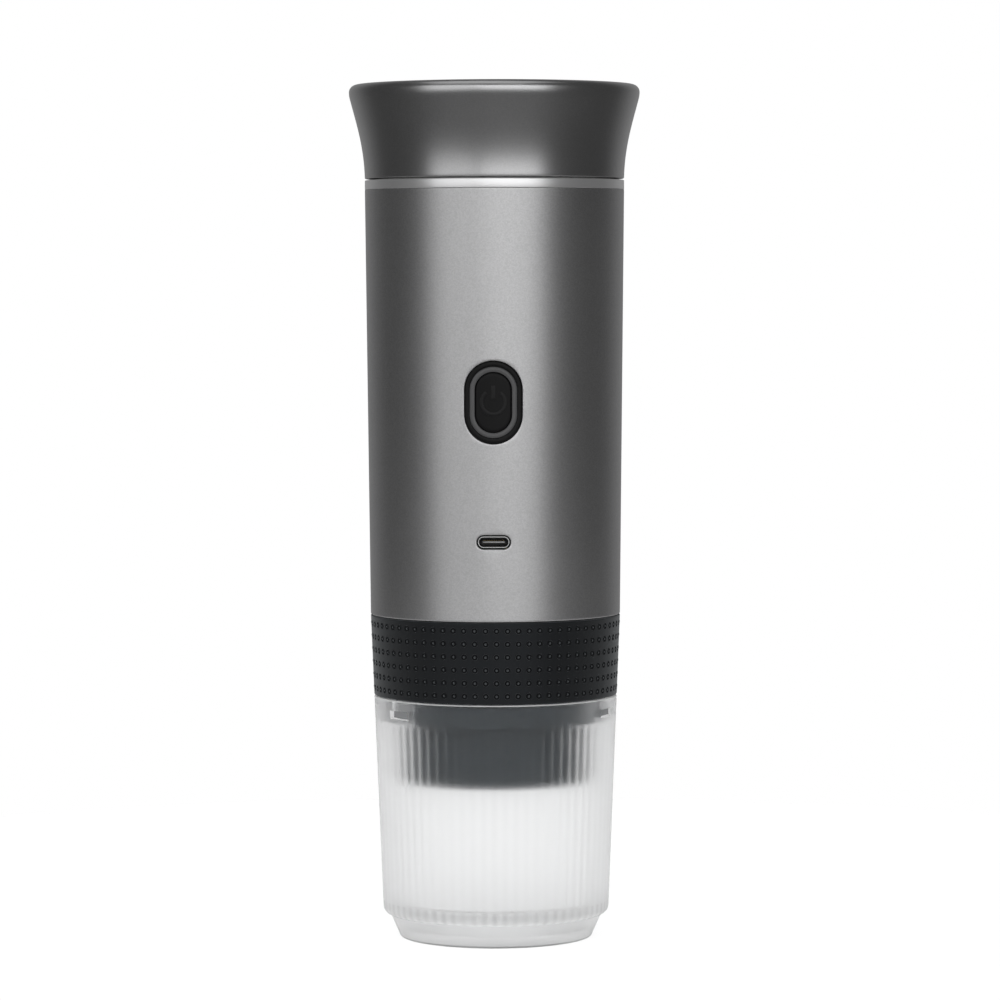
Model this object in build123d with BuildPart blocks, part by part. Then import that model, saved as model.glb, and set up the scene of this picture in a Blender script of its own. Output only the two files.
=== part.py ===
from build123d import *
import math
import os

os.makedirs("parts", exist_ok=True)

# Portable espresso machine. From the bottom: frosted ribbed cup, screw-on coffee holder with
# its grip band, powered cylinder with button and charging port, trim ring, flared screw lid.
# Millimetres, base centre at the origin, +Z up, the button side faces -Y.

# Outline heights
cup_height = 70.2
band_height = 23.1
shell_height = 122.4
ring_height = 2.7
lid_height = 27.0
parting_gap = 0.3
lid_gap = 0.4

# Outline widths
shell_top_diameter = 74.8
shell_bottom_diameter = 72.2
lower_taper = 2.3
lid_overhang = 4.6
edge_round = 0.3

# Outer shell and trim ring
shell_wall = 1.2
shell_fit = 0.1
ring_width = 3.1
button_share = 0.507
port_share = 0.185

# Lid
lid_wall = 2.2
lid_rim_round = 1.7
lid_flare_angle = 15.0
liner_flange = 2.0
plug_wall = 2.0
plug_depth = 11.2
plug_clearance = 1.0
seal_inset = 0.4
vent_radius = 3.0
vent_lip = 1.5
vent_lip_thickness = 1.0
vent_bore = 0.8

# Water tank, collar, outlet and heater
tank_wall = 0.8
tank_corner = 2.5
tank_flange = 1.0
tank_flange_width = 5.4
tank_fit = 0.2
collar_height = 8.0
collar_flange = 3.0
collar_wall = 2.2
outlet_radius = 2.0
outlet_bore = 1.3
outlet_lip = 1.8
outlet_lip_thickness = 1.0
outlet_length = 16.0
outlet_seal_thickness = 0.8
heater_thickness = 3.0
heater_gap = 4.4
heater_edge = 0.4
sensor_radius = 2.6
sensor_length = 3.2

# Pump and hoses
pump_diameter = 22.0
pump_height = 14.0
pump_floor = 3.0
pump_chamber_wall = 2.5
diaphragm_thickness = 1.2
motor_diameter = 21.0
motor_top_gap = 4.8
motor_boss_diameter = 8.0
motor_boss_height = 2.5
shaft_radius = 1.2
shaft_grip = 18.0
shaft_clearance = 0.05
shaft_tip_gap = 1.0
cam_radius = 5.5
cam_throw = 1.2
cam_thickness = 4.0
cushion_height = 4.0
cushion_bore = 5.0
hose_wall = 1.3
hose_fit = 0.05
barb_length = 3.0
arm_radius = 2.8
arm_level_share = 0.5
inlet_barb_length = 9.0
hose_end_gap = 0.3
hose_gap = 0.8

# Battery cells
cell_diameter = 18.4
cell_length = 65.2
cell_nub_radius = 2.8
cell_nub_height = 1.0
cell_gap = 0.8
socket_depth = 1.0
socket_fit = 0.2

# Chassis
chassis_plate = 3.0
chassis_rim = 1.2
post_width = 6.0
post_depth = 5.0
pillar_radius = 3.0
pass_clearance = 0.8
screw_radius = 1.2
screw_head_radius = 2.2
screw_head_height = 1.6
screw_bite = 5.0

# Control board, button and charging port
board_side_gap = 6.3
board_thickness = 1.6
board_below_port = 10.5
board_above_button = 8.0
board_screw_inset = 3.5
board_screw_radius = 1.0
board_screw_head = 1.8
board_screw_head_height = 1.2
board_screw_bite = 3.5
chip_sizes = ((9.0, 9.0, 1.0), (12.0, 6.0, 2.4), (5.0, 5.0, 2.0))
chip_level_shares = (0.36, 0.52, 0.66)
bezel_width = 16.6
bezel_height = 23.6
bezel_proud = 0.25
bezel_fit = 0.1
bezel_depth = 4.3
bezel_floor = 1.2
bezel_lip = 2.0
light_width = 13.3
light_height = 20.2
light_rim = 1.5
light_drop = 0.1
button_fit = 0.12
button_thickness = 2.0
stem_radius = 2.0
stem_clearance = 0.4
switch_width = 6.0
switch_gap = 1.5
switch_floor = 0.8
plunger_radius = 1.7
plunger_reach = 0.8
plunger_root_share = 0.54
usb_width = 8.94
usb_height = 3.26
usb_wall = 0.3
usb_length = 8.2
usb_recess = 0.3
port_gap = 0.45
tongue_width = 6.6
tongue_thickness = 0.7
tongue_setback = 0.8
tongue_base = 2.0
tongue_fit = 0.03

# Brew head, gasket and shower screen
head_flange = 4.0
spigot_depth = 14.0
thread_clearance = 1.0
stub_height = 3.0
screen_drop = 1.0
screen_thickness = 0.8
screen_edge = 2.0
spread_gap = 1.2
spread_ledge = 2.4
screen_fit = 0.1
screen_hole_radius = 0.6
screen_ring_shares = (0.19, 0.38, 0.56, 0.87)
screen_ring_counts = (6, 12, 18, 30)
screen_screw_share = 0.705
screen_screw_radius = 1.0
screen_screw_head = 2.0
screen_screw_bite = 4.0
screen_boss_radius = 2.4
gasket_thickness = 2.5

# Coffee holder, grip band and basket
band_thickness = 2.0
band_fit = 0.05
holder_wall = 4.2
holder_flange_depth = 7.2
drum_depth = 23.5
drum_wall = 2.1
drum_round = 2.0
holder_floor = 3.0
spout_length = 2.5
spout_radius = 4.5
spout_bore = 1.8
funnel_rise = 1.0
cup_fit = 0.5
lug_side_gap = 0.6
lug_level_gap = 0.3
lug_face_gap = 0.35
basket_rim = 1.0
basket_rim_gap = 1.3
basket_rim_width = 3.3
basket_fit = 0.5
basket_wall = 0.6
basket_standoff = 3.0
basket_hole_radius = 0.5
basket_ring_shares = (0.2, 0.4, 0.6, 0.8)
basket_ring_counts = (6, 12, 18, 24)

# Cup
cup_wall = 2.4
cup_floor = 2.4
foot_height = 5.7
shoulder_width = 2.7
foot_flare = 2.6
shoulder_round = 2.2
cup_inner_round = 3.0
foot_wall = 3.4
foot_inner_round = 2.0
foot_recess_depth = 0.8
foot_ring_width = 4.5
rim_round = 0.5
rib_count = 68
rib_height = 0.6
rib_width = 1.8
rib_root = 0.4
rib_top_drop = 8.0
window_width = 9.0
window_height = 2.4
window_drop = 4.1
window_skin = 1.2
window_azimuth = 218.0
window_count = 3

# Cuts run this far past the faces that they open
overrun = 1.0

# Levels
band_bottom = cup_height + parting_gap
band_top = band_bottom + band_height
shell_bottom = band_top + parting_gap
shell_top = shell_bottom + shell_height
ring_top = shell_top + ring_height
lid_bottom = ring_top + lid_gap
lid_top = lid_bottom + lid_height
button_level = shell_bottom + button_share * shell_height
port_level = shell_bottom + port_share * shell_height
head_top = shell_bottom + head_flange
plate_top = head_top + chassis_plate
cell_bottom = plate_top - socket_depth
upper_plate_bottom = cell_bottom + cell_length - socket_depth + shell_fit
chassis_top = upper_plate_bottom + chassis_plate
heater_bottom = chassis_top + heater_gap
tank_bottom = heater_bottom + heater_thickness
tank_floor_top = tank_bottom + tank_wall
tank_flange_top = shell_top + tank_flange
spigot_bottom = shell_bottom - spigot_depth
gasket_bottom = spigot_bottom - gasket_thickness
basket_ledge = gasket_bottom - basket_rim
drum_bottom = band_bottom - drum_depth
holder_flange_bottom = band_bottom - holder_flange_depth
holder_floor_top = drum_bottom + holder_floor
basket_bottom = holder_floor_top + basket_standoff
window_level = cup_height - window_drop
pump_bottom = plate_top + cushion_height
motor_bottom = pump_bottom + pump_height
motor_top = upper_plate_bottom - motor_top_gap - motor_boss_height
arm_level = pump_bottom + arm_level_share * pump_height

# Radii shared by pieces that meet
shell_top_radius = shell_top_diameter / 2
shell_bottom_radius = shell_bottom_diameter / 2
taper_slope = math.tan(math.radians(lower_taper))
band_bottom_radius = shell_bottom_radius - band_height * taper_slope
ring_inner = shell_top_radius - ring_width
tank_flange_radius = ring_inner - shell_fit
tank_outer = tank_flange_radius - tank_flange_width
tank_radius = tank_outer - tank_wall
holder_outer = band_bottom_radius - band_thickness - band_fit
socket_radius = holder_outer - holder_wall
spigot_radius = socket_radius - thread_clearance
basket_rim_radius = spigot_radius - basket_rim_gap
basket_outer = basket_rim_radius - basket_rim_width
basket_inner = basket_outer - basket_wall
drum_inner = basket_outer + basket_fit
drum_outer = drum_inner + drum_wall
screen_radius = basket_inner - screen_edge
spread_radius = screen_radius - spread_ledge
pump_radius = pump_diameter / 2
cell_radius = cell_diameter / 2
cell_pitch = pump_radius + cell_gap + cell_radius
chassis_radius = cell_pitch + cell_radius + chassis_rim
hose_inner = outlet_radius + hose_fit
hose_outer = hose_inner + hose_wall
hose_pitch = pump_radius + hose_outer + hose_gap

# Places across the body
cell_places = {"left": (-cell_pitch, 0), "right": (cell_pitch, 0), "rear": (0, cell_pitch)}
diagonal = math.sqrt(0.5)
hose_place = (-hose_pitch * diagonal, hose_pitch * diagonal)
pillar_place = (cell_pitch * diagonal, cell_pitch * diagonal)
screw_places = [
    (-hose_pitch * diagonal, -hose_pitch * diagonal),
    (hose_pitch * diagonal, -hose_pitch * diagonal),
    hose_place,
]
on_base = (Align.CENTER, Align.CENTER, Align.MIN)


def shell_radius(level):
    share = (level - shell_bottom) / shell_height
    return shell_bottom_radius + (shell_top_radius - shell_bottom_radius) * share


def lower_radius(level):
    return shell_bottom_radius - (band_top - level) * taper_slope


def front_plane(depth, level):
    return Plane(origin=(0, depth, level), x_dir=(1, 0, 0), z_dir=(0, -1, 0))


def at(place, level):
    return (place[0], place[1], level)


def near(points, radius, level):
    return points.sort_by_distance((radius, level, 0))[0]


# Depths behind the shell's front
usb_front = usb_recess - shell_radius(port_level)
board_front = usb_front + usb_length
board_back = board_front + board_thickness
board_bottom = port_level - board_below_port
board_top = button_level + board_above_button
bezel_face = bezel_proud + shell_radius(button_level)
bezel_back = bezel_depth - bezel_face
pocket_floor = bezel_back - bezel_floor
switch_front = bezel_back + switch_gap
switch_height = board_front - switch_front
switch_bore_depth = switch_height - switch_floor
plunger_root = plunger_root_share * switch_bore_depth
plunger_tip = switch_front - plunger_reach
button_back = button_thickness - bezel_face
board_room = math.sqrt((shell_radius(board_top) - shell_wall) ** 2 - board_front**2)
board_width = 2 * (board_room - board_side_gap)
post_offset = board_width / 2 - board_screw_inset
board_screw_levels = (board_bottom + board_screw_inset, board_top - board_screw_inset)
lip_half = bezel_width / 2 + bezel_lip
lip_reach = bezel_height / 2 + bezel_lip
lip_shell_radius = min(shell_radius(button_level - lip_reach), shell_radius(button_level + lip_reach))
shell_inner_at_button = lip_shell_radius - shell_wall
lip_front = bezel_fit - math.sqrt(shell_inner_at_button**2 - lip_half**2)

# The curved front that the bezel, the light ring and the button share
front_reach = bezel_height
front_low = button_level - front_reach
front_high = button_level + front_reach


def button_front(offset_out):
    low = shell_radius(front_low) + offset_out
    high = shell_radius(front_high) + offset_out
    return Pos(0, 0, front_low) * Cone(low, high, front_high - front_low, align=on_base)


# Outer shell: thin tapered tube with the button and port openings
with BuildPart() as outer_shell:
    with BuildSketch(Plane.XZ):
        with BuildLine():
            Polyline(
                (shell_bottom_radius - shell_wall, shell_bottom),
                (shell_bottom_radius, shell_bottom),
                (shell_top_radius, shell_top),
                (shell_top_radius - shell_wall, shell_top),
                close=True,
            )
        make_face()
        fillet(near(vertices(), shell_bottom_radius, shell_bottom), edge_round)
    revolve(axis=Axis.Z)
    with BuildSketch(front_plane(0, button_level)):
        SlotOverall(bezel_height + 2 * bezel_fit, bezel_width + 2 * bezel_fit, rotation=90)
    extrude(amount=shell_top_diameter, mode=Mode.SUBTRACT)
    with BuildSketch(front_plane(0, port_level)):
        SlotOverall(usb_width + 2 * port_gap, usb_height + 2 * port_gap)
    extrude(amount=shell_top_diameter, mode=Mode.SUBTRACT)
outer_shell.part.label = "outer_shell"
export_step(outer_shell.part, "parts/outer_shell.step")

# Trim ring: bright band between shell and lid
with BuildPart() as trim_ring:
    with BuildSketch(Plane.XZ):
        with BuildLine():
            Polyline(
                (ring_inner, shell_top),
                (shell_top_radius, shell_top),
                (shell_top_radius, ring_top),
                (ring_inner, ring_top),
                close=True,
            )
        make_face()
        fillet(near(vertices(), shell_top_radius, ring_top), edge_round)
    revolve(axis=Axis.Z)
trim_ring.part.label = "trim_ring"
export_step(trim_ring.part, "parts/trim_ring.step")

# Lid shell: near-vertical foot that bends into a straight flare, rounded top edge, hollow
lid_radius = shell_top_radius
flare_radius = shell_top_radius + lid_overhang
flare_height = lid_height - lid_rim_round
flare_slope = math.tan(math.radians(lid_flare_angle))
half_slope = math.tan(math.radians(lid_flare_angle / 2))
bend_height = (flare_height * flare_slope - lid_overhang) / (flare_slope - half_slope)
bend_radius = bend_height / math.sin(math.radians(lid_flare_angle))
lid_inner = lid_radius - lid_wall
with BuildPart() as lid_shell:
    with BuildSketch(Plane.XZ):
        with BuildLine():
            bend = JernArc((lid_radius, lid_bottom), (0, 1), bend_radius, -lid_flare_angle)
            Polyline(
                bend @ 1,
                (flare_radius, lid_bottom + flare_height),
                (flare_radius - lid_rim_round, lid_top),
                (0, lid_top),
                (0, lid_top - lid_wall),
                (flare_radius - 2 * lid_wall, lid_top - lid_wall),
                (lid_inner, lid_bottom),
                bend @ 0,
            )
        make_face()
        fillet(near(vertices(), flare_radius, lid_bottom + flare_height), lid_rim_round / 2)
        fillet(near(vertices(), flare_radius - lid_rim_round, lid_top), lid_rim_round / 2)
    revolve(axis=Axis.Z)
lid_shell.part.label = "lid_shell"
export_step(lid_shell.part, "parts/lid_shell.step")

# Lid liner: plate under the lid with the plug that reaches down into the tank
plug_radius = tank_radius - plug_clearance
plug_bottom = lid_bottom - plug_depth
with BuildPart() as lid_liner:
    with BuildSketch(Plane.XZ):
        with BuildLine():
            Polyline(
                (vent_radius, plug_bottom),
                (plug_radius, plug_bottom),
                (plug_radius, lid_bottom),
                (lid_inner - shell_fit, lid_bottom),
                (lid_inner - shell_fit, lid_bottom + liner_flange),
                (plug_radius - plug_wall, lid_bottom + liner_flange),
                (plug_radius - plug_wall, plug_bottom + plug_wall),
                (vent_radius, plug_bottom + plug_wall),
                close=True,
            )
        make_face()
        fillet(near(vertices(), plug_radius, plug_bottom), plug_wall / 2)
    revolve(axis=Axis.Z)
lid_liner.part.label = "lid_liner"
export_step(lid_liner.part, "parts/lid_liner.step")

# Lid vent: soft valve in the plug's floor that lets steam into the hollow lid
with BuildPart() as lid_vent:
    with Locations((0, 0, plug_bottom)):
        Cylinder(vent_radius, plug_wall, align=on_base)
    with Locations((0, 0, plug_bottom + plug_wall)):
        Cylinder(vent_radius + vent_lip, vent_lip_thickness, align=on_base)
    Hole(vent_bore)
lid_vent.part.label = "lid_vent"
export_step(lid_vent.part, "parts/lid_vent.step")

# Lid seal: flat soft ring between the tank's flange and the lid
with BuildPart() as lid_seal:
    with BuildSketch(Plane.XY.offset(tank_flange_top)):
        Circle(tank_flange_radius - seal_inset)
        Circle(tank_radius + seal_inset, mode=Mode.SUBTRACT)
    extrude(amount=lid_bottom - tank_flange_top)
lid_seal.part.label = "lid_seal"
export_step(lid_seal.part, "parts/lid_seal.step")

# Water tank: drawn steel cup with a rolled-out flange and an outlet hole in the floor
with BuildPart() as water_tank:
    with BuildSketch(Plane.XZ):
        with BuildLine():
            Polyline(
                (0, tank_bottom),
                (tank_outer, tank_bottom),
                (tank_outer, shell_top),
                (tank_flange_radius, shell_top),
                (tank_flange_radius, tank_flange_top),
                (tank_radius, tank_flange_top),
                (tank_radius, tank_floor_top),
                (0, tank_floor_top),
                close=True,
            )
        make_face()
        fillet(near(vertices(), tank_outer, tank_bottom), tank_corner + tank_wall)
        fillet(near(vertices(), tank_radius, tank_floor_top), tank_corner)
    revolve(axis=Axis.Z)
    with Locations(at(hose_place, tank_floor_top)):
        Hole(outlet_radius + hose_fit, depth=tank_wall + overrun)
water_tank.part.label = "water_tank"
export_step(water_tank.part, "parts/water_tank.step")

# Tank collar: bonded inside the shell's top edge, carries the tank's flange
collar_bottom = shell_top - collar_height
collar_outer = min(shell_radius(collar_bottom), shell_top_radius) - shell_wall - shell_fit
with BuildPart() as tank_collar:
    with BuildSketch(Plane.XZ):
        with BuildLine():
            Polyline(
                (tank_outer + tank_fit, shell_top),
                (collar_outer, shell_top),
                (collar_outer, collar_bottom),
                (collar_outer - collar_wall, collar_bottom),
                (collar_outer - collar_wall, shell_top - collar_flange),
                (tank_outer + tank_fit, shell_top - collar_flange),
                close=True,
            )
        make_face()
    revolve(axis=Axis.Z)
tank_collar.part.label = "tank_collar"
export_step(tank_collar.part, "parts/tank_collar.step")

# Outlet nipple: lipped tube from the tank's floor down into the inlet hose
nipple_top = tank_floor_top + outlet_seal_thickness + outlet_lip_thickness
nipple_bottom = tank_bottom - outlet_length
with BuildPart() as outlet_nipple:
    with Locations(at(hose_place, nipple_bottom)):
        Cylinder(outlet_radius, nipple_top - nipple_bottom, align=on_base)
    with Locations(at(hose_place, nipple_top - outlet_lip_thickness)):
        Cylinder(outlet_radius + outlet_lip, outlet_lip_thickness, align=on_base)
    with Locations(at(hose_place, nipple_top)):
        Hole(outlet_bore)
outlet_nipple.part.label = "outlet_nipple"
export_step(outlet_nipple.part, "parts/outlet_nipple.step")

# Outlet seal: washer between the nipple's lip and the tank's floor
with BuildPart() as outlet_seal:
    with Locations(at(hose_place, tank_floor_top)):
        Cylinder(outlet_radius + outlet_lip, outlet_seal_thickness, align=on_base)
    with Locations(at(hose_place, tank_floor_top + outlet_seal_thickness)):
        Hole(outlet_radius)
outlet_seal.part.label = "outlet_seal"
export_step(outlet_seal.part, "parts/outlet_seal.step")

# Heater plate: disc bonded under the tank's floor
heater_radius = tank_radius - tank_corner - heater_edge
with BuildPart() as heater_plate:
    with Locations((0, 0, heater_bottom)):
        Cylinder(heater_radius, heater_thickness, align=on_base)
    with Locations(at(hose_place, tank_bottom)):
        Hole(outlet_radius + pass_clearance)
    fillet(edges().filter_by(GeomType.CIRCLE).group_by(Axis.Z)[0].sort_by(SortBy.RADIUS)[-1:], edge_round)
heater_plate.part.label = "heater_plate"
export_step(heater_plate.part, "parts/heater_plate.step")

# Temperature sensor: small can under the heater plate
with BuildPart() as temp_sensor:
    with Locations((0, 0, heater_bottom - sensor_length)):
        Cylinder(sensor_radius, sensor_length, align=on_base)
    fillet(faces().sort_by(Axis.Z)[0].edges(), edge_round)
temp_sensor.part.label = "temp_sensor"
export_step(temp_sensor.part, "parts/temp_sensor.step")

# Inlet hose: soft tube from the outlet nipple down to the pump's inlet barb
hose_low = arm_level + arm_radius + hose_end_gap
hose_high = chassis_top + hose_end_gap
with BuildPart() as inlet_hose:
    with BuildSketch(Plane.XY.offset(hose_low)):
        with Locations(hose_place):
            Circle(hose_outer)
            Circle(hose_inner, mode=Mode.SUBTRACT)
    extrude(amount=hose_high - hose_low)
inlet_hose.part.label = "inlet_hose"
export_step(inlet_hose.part, "parts/inlet_hose.step")

# Pump cushion: soft ring between the chassis plate and the pump
with BuildPart() as pump_cushion:
    with BuildSketch(Plane.XY.offset(plate_top)):
        Circle(pump_radius)
        Circle(cushion_bore, mode=Mode.SUBTRACT)
    extrude(amount=cushion_height)
pump_cushion.part.label = "pump_cushion"
export_step(pump_cushion.part, "parts/pump_cushion.step")

# Pump head: chamber for the cam, side inlet arm with an upturned barb, outlet barb below
chamber_radius = pump_radius - pump_chamber_wall
chamber_bottom = pump_bottom + pump_floor
arm_plane = Plane(origin=(0, 0, arm_level), x_dir=(0, 0, 1), z_dir=(-1, 1, 0))
with BuildPart() as pump_head:
    with Locations((0, 0, pump_bottom)):
        Cylinder(pump_radius, pump_height, align=on_base)
    with BuildSketch(arm_plane):
        Circle(arm_radius)
    extrude(amount=hose_pitch)
    with Locations(at(hose_place, arm_level)):
        Sphere(arm_radius)
        Cylinder(outlet_radius, arm_radius + inlet_barb_length, align=on_base)
    with Locations((0, 0, pump_bottom - barb_length)):
        Cylinder(outlet_radius, barb_length, align=on_base)
    with Locations((0, 0, chamber_bottom)):
        Cylinder(chamber_radius, pump_height, align=on_base, mode=Mode.SUBTRACT)
    with Locations((0, 0, chamber_bottom)):
        Hole(outlet_bore)
    with Locations(at(hose_place, arm_level + arm_radius + inlet_barb_length)):
        Hole(outlet_bore, depth=arm_radius + inlet_barb_length)
    with BuildSketch(arm_plane):
        Circle(outlet_bore)
    extrude(amount=hose_pitch, mode=Mode.SUBTRACT)
pump_head.part.label = "pump_head"
export_step(pump_head.part, "parts/pump_head.step")

# Pump diaphragm: soft disc on the chamber's floor
with BuildPart() as pump_diaphragm:
    with Locations((0, 0, chamber_bottom)):
        Cylinder(chamber_radius - hose_fit, diaphragm_thickness, align=on_base)
    Hole(outlet_bore)
pump_diaphragm.part.label = "pump_diaphragm"
export_step(pump_diaphragm.part, "parts/pump_diaphragm.step")

# Pump motor: closed can with the shaft's bore in its lower end
shaft_bottom = chamber_bottom + diaphragm_thickness + shaft_tip_gap
shaft_top = motor_bottom + shaft_grip
with BuildPart() as pump_motor:
    with Locations((0, 0, motor_bottom)):
        Cylinder(motor_diameter / 2, motor_top - motor_bottom, align=on_base)
    fillet(faces().sort_by(Axis.Z)[-1].edges(), edge_round)
    with Locations((0, 0, motor_top)):
        Cylinder(motor_boss_diameter / 2, motor_boss_height, align=on_base)
    with Locations((0, 0, motor_bottom)):
        bore_depth = shaft_top + shaft_tip_gap - motor_bottom
        Cylinder(shaft_radius + shaft_clearance, bore_depth, align=on_base, mode=Mode.SUBTRACT)
pump_motor.part.label = "pump_motor"
export_step(pump_motor.part, "parts/pump_motor.step")

# Motor shaft
with BuildPart() as motor_shaft:
    with Locations((0, 0, shaft_bottom)):
        Cylinder(shaft_radius, shaft_top - shaft_bottom, align=on_base)
motor_shaft.part.label = "motor_shaft"
export_step(motor_shaft.part, "parts/motor_shaft.step")

# Pump cam: off-centre disc on the shaft's lower end
cam_bottom = shaft_bottom
with BuildPart() as pump_cam:
    with Locations((cam_throw, 0, cam_bottom)):
        Cylinder(cam_radius, cam_thickness, align=on_base)
    with Locations((0, 0, cam_bottom + cam_thickness)):
        Hole(shaft_radius)
pump_cam.part.label = "pump_cam"
export_step(pump_cam.part, "parts/pump_cam.step")

# Pressure hose: short sleeve from the pump's outlet barb to the brew head's stub
with BuildPart() as pressure_hose:
    with BuildSketch(Plane.XY.offset(head_top + hose_end_gap)):
        Circle(hose_outer)
        Circle(hose_inner, mode=Mode.SUBTRACT)
    extrude(amount=pump_bottom - head_top - 2 * hose_end_gap)
pressure_hose.part.label = "pressure_hose"
export_step(pressure_hose.part, "parts/pressure_hose.step")

# Battery cells: three standard round cells round the pump
for side, place in cell_places.items():
    with BuildPart() as battery_cell:
        with Locations(at(place, cell_bottom)):
            Cylinder(cell_radius, cell_length - cell_nub_height, align=on_base)
        fillet(faces().sort_by(Axis.Z)[-1].edges(), edge_round)
        with Locations(at(place, cell_bottom + cell_length - cell_nub_height)):
            Cylinder(cell_nub_radius, cell_nub_height, align=on_base)
    battery_cell.part.label = "battery_cell_" + side
    export_step(battery_cell.part, "parts/battery_cell_" + side + ".step")

# Chassis: two plates with cell sockets, joined by two front posts and a rear pillar
with BuildPart() as chassis:
    with BuildSketch(Plane.XY.offset(head_top), Plane.XY.offset(upper_plate_bottom)):
        Circle(chassis_radius)
        with Locations((0, board_back)):
            Rectangle(
                2 * chassis_radius,
                2 * chassis_radius,
                align=(Align.CENTER, Align.MAX),
                mode=Mode.SUBTRACT,
            )
    extrude(amount=chassis_plate)
    with BuildSketch(Plane.XY.offset(plate_top)):
        with Locations((-post_offset, board_back), (post_offset, board_back)):
            Rectangle(post_width, post_depth, align=(Align.CENTER, Align.MIN))
        with Locations(pillar_place):
            Circle(pillar_radius)
    extrude(amount=upper_plate_bottom - plate_top)
    with BuildSketch(Plane.XY.offset(cell_bottom)):
        with Locations(*cell_places.values()):
            Circle(cell_radius + socket_fit)
    extrude(amount=cell_length + shell_fit, mode=Mode.SUBTRACT)
    with Locations((0, 0, plate_top)):
        Hole(hose_outer + pass_clearance, depth=chassis_plate)
    with Locations(at(hose_place, chassis_top)):
        Hole(hose_outer + pass_clearance, depth=chassis_plate)
    with Locations(*[at(place, plate_top) for place in screw_places]):
        Hole(screw_radius, depth=chassis_plate)
    for level in board_screw_levels:
        with BuildSketch(front_plane(board_back, level)):
            with Locations((-post_offset, 0), (post_offset, 0)):
                Circle(board_screw_radius)
        extrude(amount=-board_screw_bite, mode=Mode.SUBTRACT)
chassis.part.label = "chassis"
export_step(chassis.part, "parts/chassis.step")

# Chassis screws: three, down through the lower plate into the brew head
with BuildPart() as chassis_screws:
    with Locations(*[at(place, plate_top) for place in screw_places]):
        Cylinder(screw_head_radius, screw_head_height, align=on_base)
    with Locations(*[at(place, plate_top - chassis_plate - screw_bite) for place in screw_places]):
        Cylinder(screw_radius, chassis_plate + screw_bite, align=on_base)
chassis_screws.part.label = "chassis_screws"
export_step(chassis_screws.part, "parts/chassis_screws.step")

# Control board: upright behind the button and the port
with BuildPart() as control_board:
    with BuildSketch(front_plane(board_front, board_bottom)):
        Rectangle(board_width, board_top - board_bottom, align=(Align.CENTER, Align.MIN))
    extrude(amount=-board_thickness)
    for level in board_screw_levels:
        with BuildSketch(front_plane(board_front, level)):
            with Locations((-post_offset, 0), (post_offset, 0)):
                Circle(board_screw_radius)
        extrude(amount=-board_thickness, mode=Mode.SUBTRACT)
control_board.part.label = "control_board"
export_step(control_board.part, "parts/control_board.step")

# Board chips: controller, coil and charger on the board's front
with BuildPart() as board_chips:
    for size, share in zip(chip_sizes, chip_level_shares):
        level = board_bottom + share * (board_top - board_bottom)
        with BuildSketch(front_plane(board_front, level)):
            Rectangle(size[0], size[1])
        extrude(amount=size[2])
board_chips.part.label = "board_chips"
export_step(board_chips.part, "parts/board_chips.step")

# Board screws: four, through the board into the chassis posts
with BuildPart() as board_screws:
    for level in board_screw_levels:
        with BuildSketch(front_plane(board_front, level)):
            with Locations((-post_offset, 0), (post_offset, 0)):
                Circle(board_screw_head)
        extrude(amount=board_screw_head_height)
        with BuildSketch(front_plane(board_front, level)):
            with Locations((-post_offset, 0), (post_offset, 0)):
                Circle(board_screw_radius)
        extrude(amount=-board_thickness - board_screw_bite)
board_screws.part.label = "board_screws"
export_step(board_screws.part, "parts/board_screws.step")

# Button bezel: obround tray through the shell, with a lip behind the wall
with BuildPart() as button_bezel:
    with BuildSketch(front_plane(bezel_back, button_level)):
        SlotOverall(bezel_height, bezel_width, rotation=90)
    extrude(amount=bezel_depth + overrun)
    add(button_front(bezel_proud), mode=Mode.INTERSECT)
    with BuildSketch(front_plane(bezel_back, button_level)):
        SlotOverall(bezel_height + 2 * bezel_lip, bezel_width + 2 * bezel_lip, rotation=90)
    extrude(amount=bezel_back - lip_front)
    with BuildSketch(front_plane(pocket_floor, button_level)):
        SlotOverall(light_height, light_width, rotation=90)
    extrude(amount=bezel_depth + overrun, mode=Mode.SUBTRACT)
    with BuildSketch(front_plane(bezel_back, button_level)):
        Circle(stem_radius + stem_clearance)
    extrude(amount=bezel_floor, mode=Mode.SUBTRACT)
button_bezel.part.label = "button_bezel"
export_step(button_bezel.part, "parts/button_bezel.step")

# Light ring: translucent obround ring round the button
light_inner_width = light_width - 2 * light_rim
light_inner_height = light_height - 2 * light_rim
with BuildPart() as light_ring:
    with BuildSketch(front_plane(pocket_floor, button_level)):
        SlotOverall(light_height, light_width, rotation=90)
        SlotOverall(light_inner_height, light_inner_width, rotation=90, mode=Mode.SUBTRACT)
    extrude(amount=bezel_depth + overrun)
    add(button_front(bezel_proud - light_drop), mode=Mode.INTERSECT)
light_ring.part.label = "light_ring"
export_step(light_ring.part, "parts/light_ring.step")

# Power button: curved obround cap with a stem that reaches the switch
with BuildPart() as power_button:
    with BuildSketch(front_plane(button_back, button_level)):
        SlotOverall(
            light_inner_height - 2 * button_fit, light_inner_width - 2 * button_fit, rotation=90
        )
    extrude(amount=button_thickness + overrun)
    add(button_front(bezel_proud), mode=Mode.INTERSECT)
    with BuildSketch(front_plane(plunger_tip, button_level)):
        Circle(stem_radius)
    extrude(amount=plunger_tip - button_back)
power_button.part.label = "power_button"
export_step(power_button.part, "parts/power_button.step")

# Tact switch: square body on the board with a bore for its plunger
with BuildPart() as tact_switch:
    with BuildSketch(front_plane(board_front, button_level)):
        Rectangle(switch_width, switch_width)
    extrude(amount=switch_height)
    with BuildSketch(front_plane(switch_front, button_level)):
        Circle(plunger_radius + button_fit)
    extrude(amount=-switch_bore_depth, mode=Mode.SUBTRACT)
tact_switch.part.label = "tact_switch"
export_step(tact_switch.part, "parts/tact_switch.step")

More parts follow.
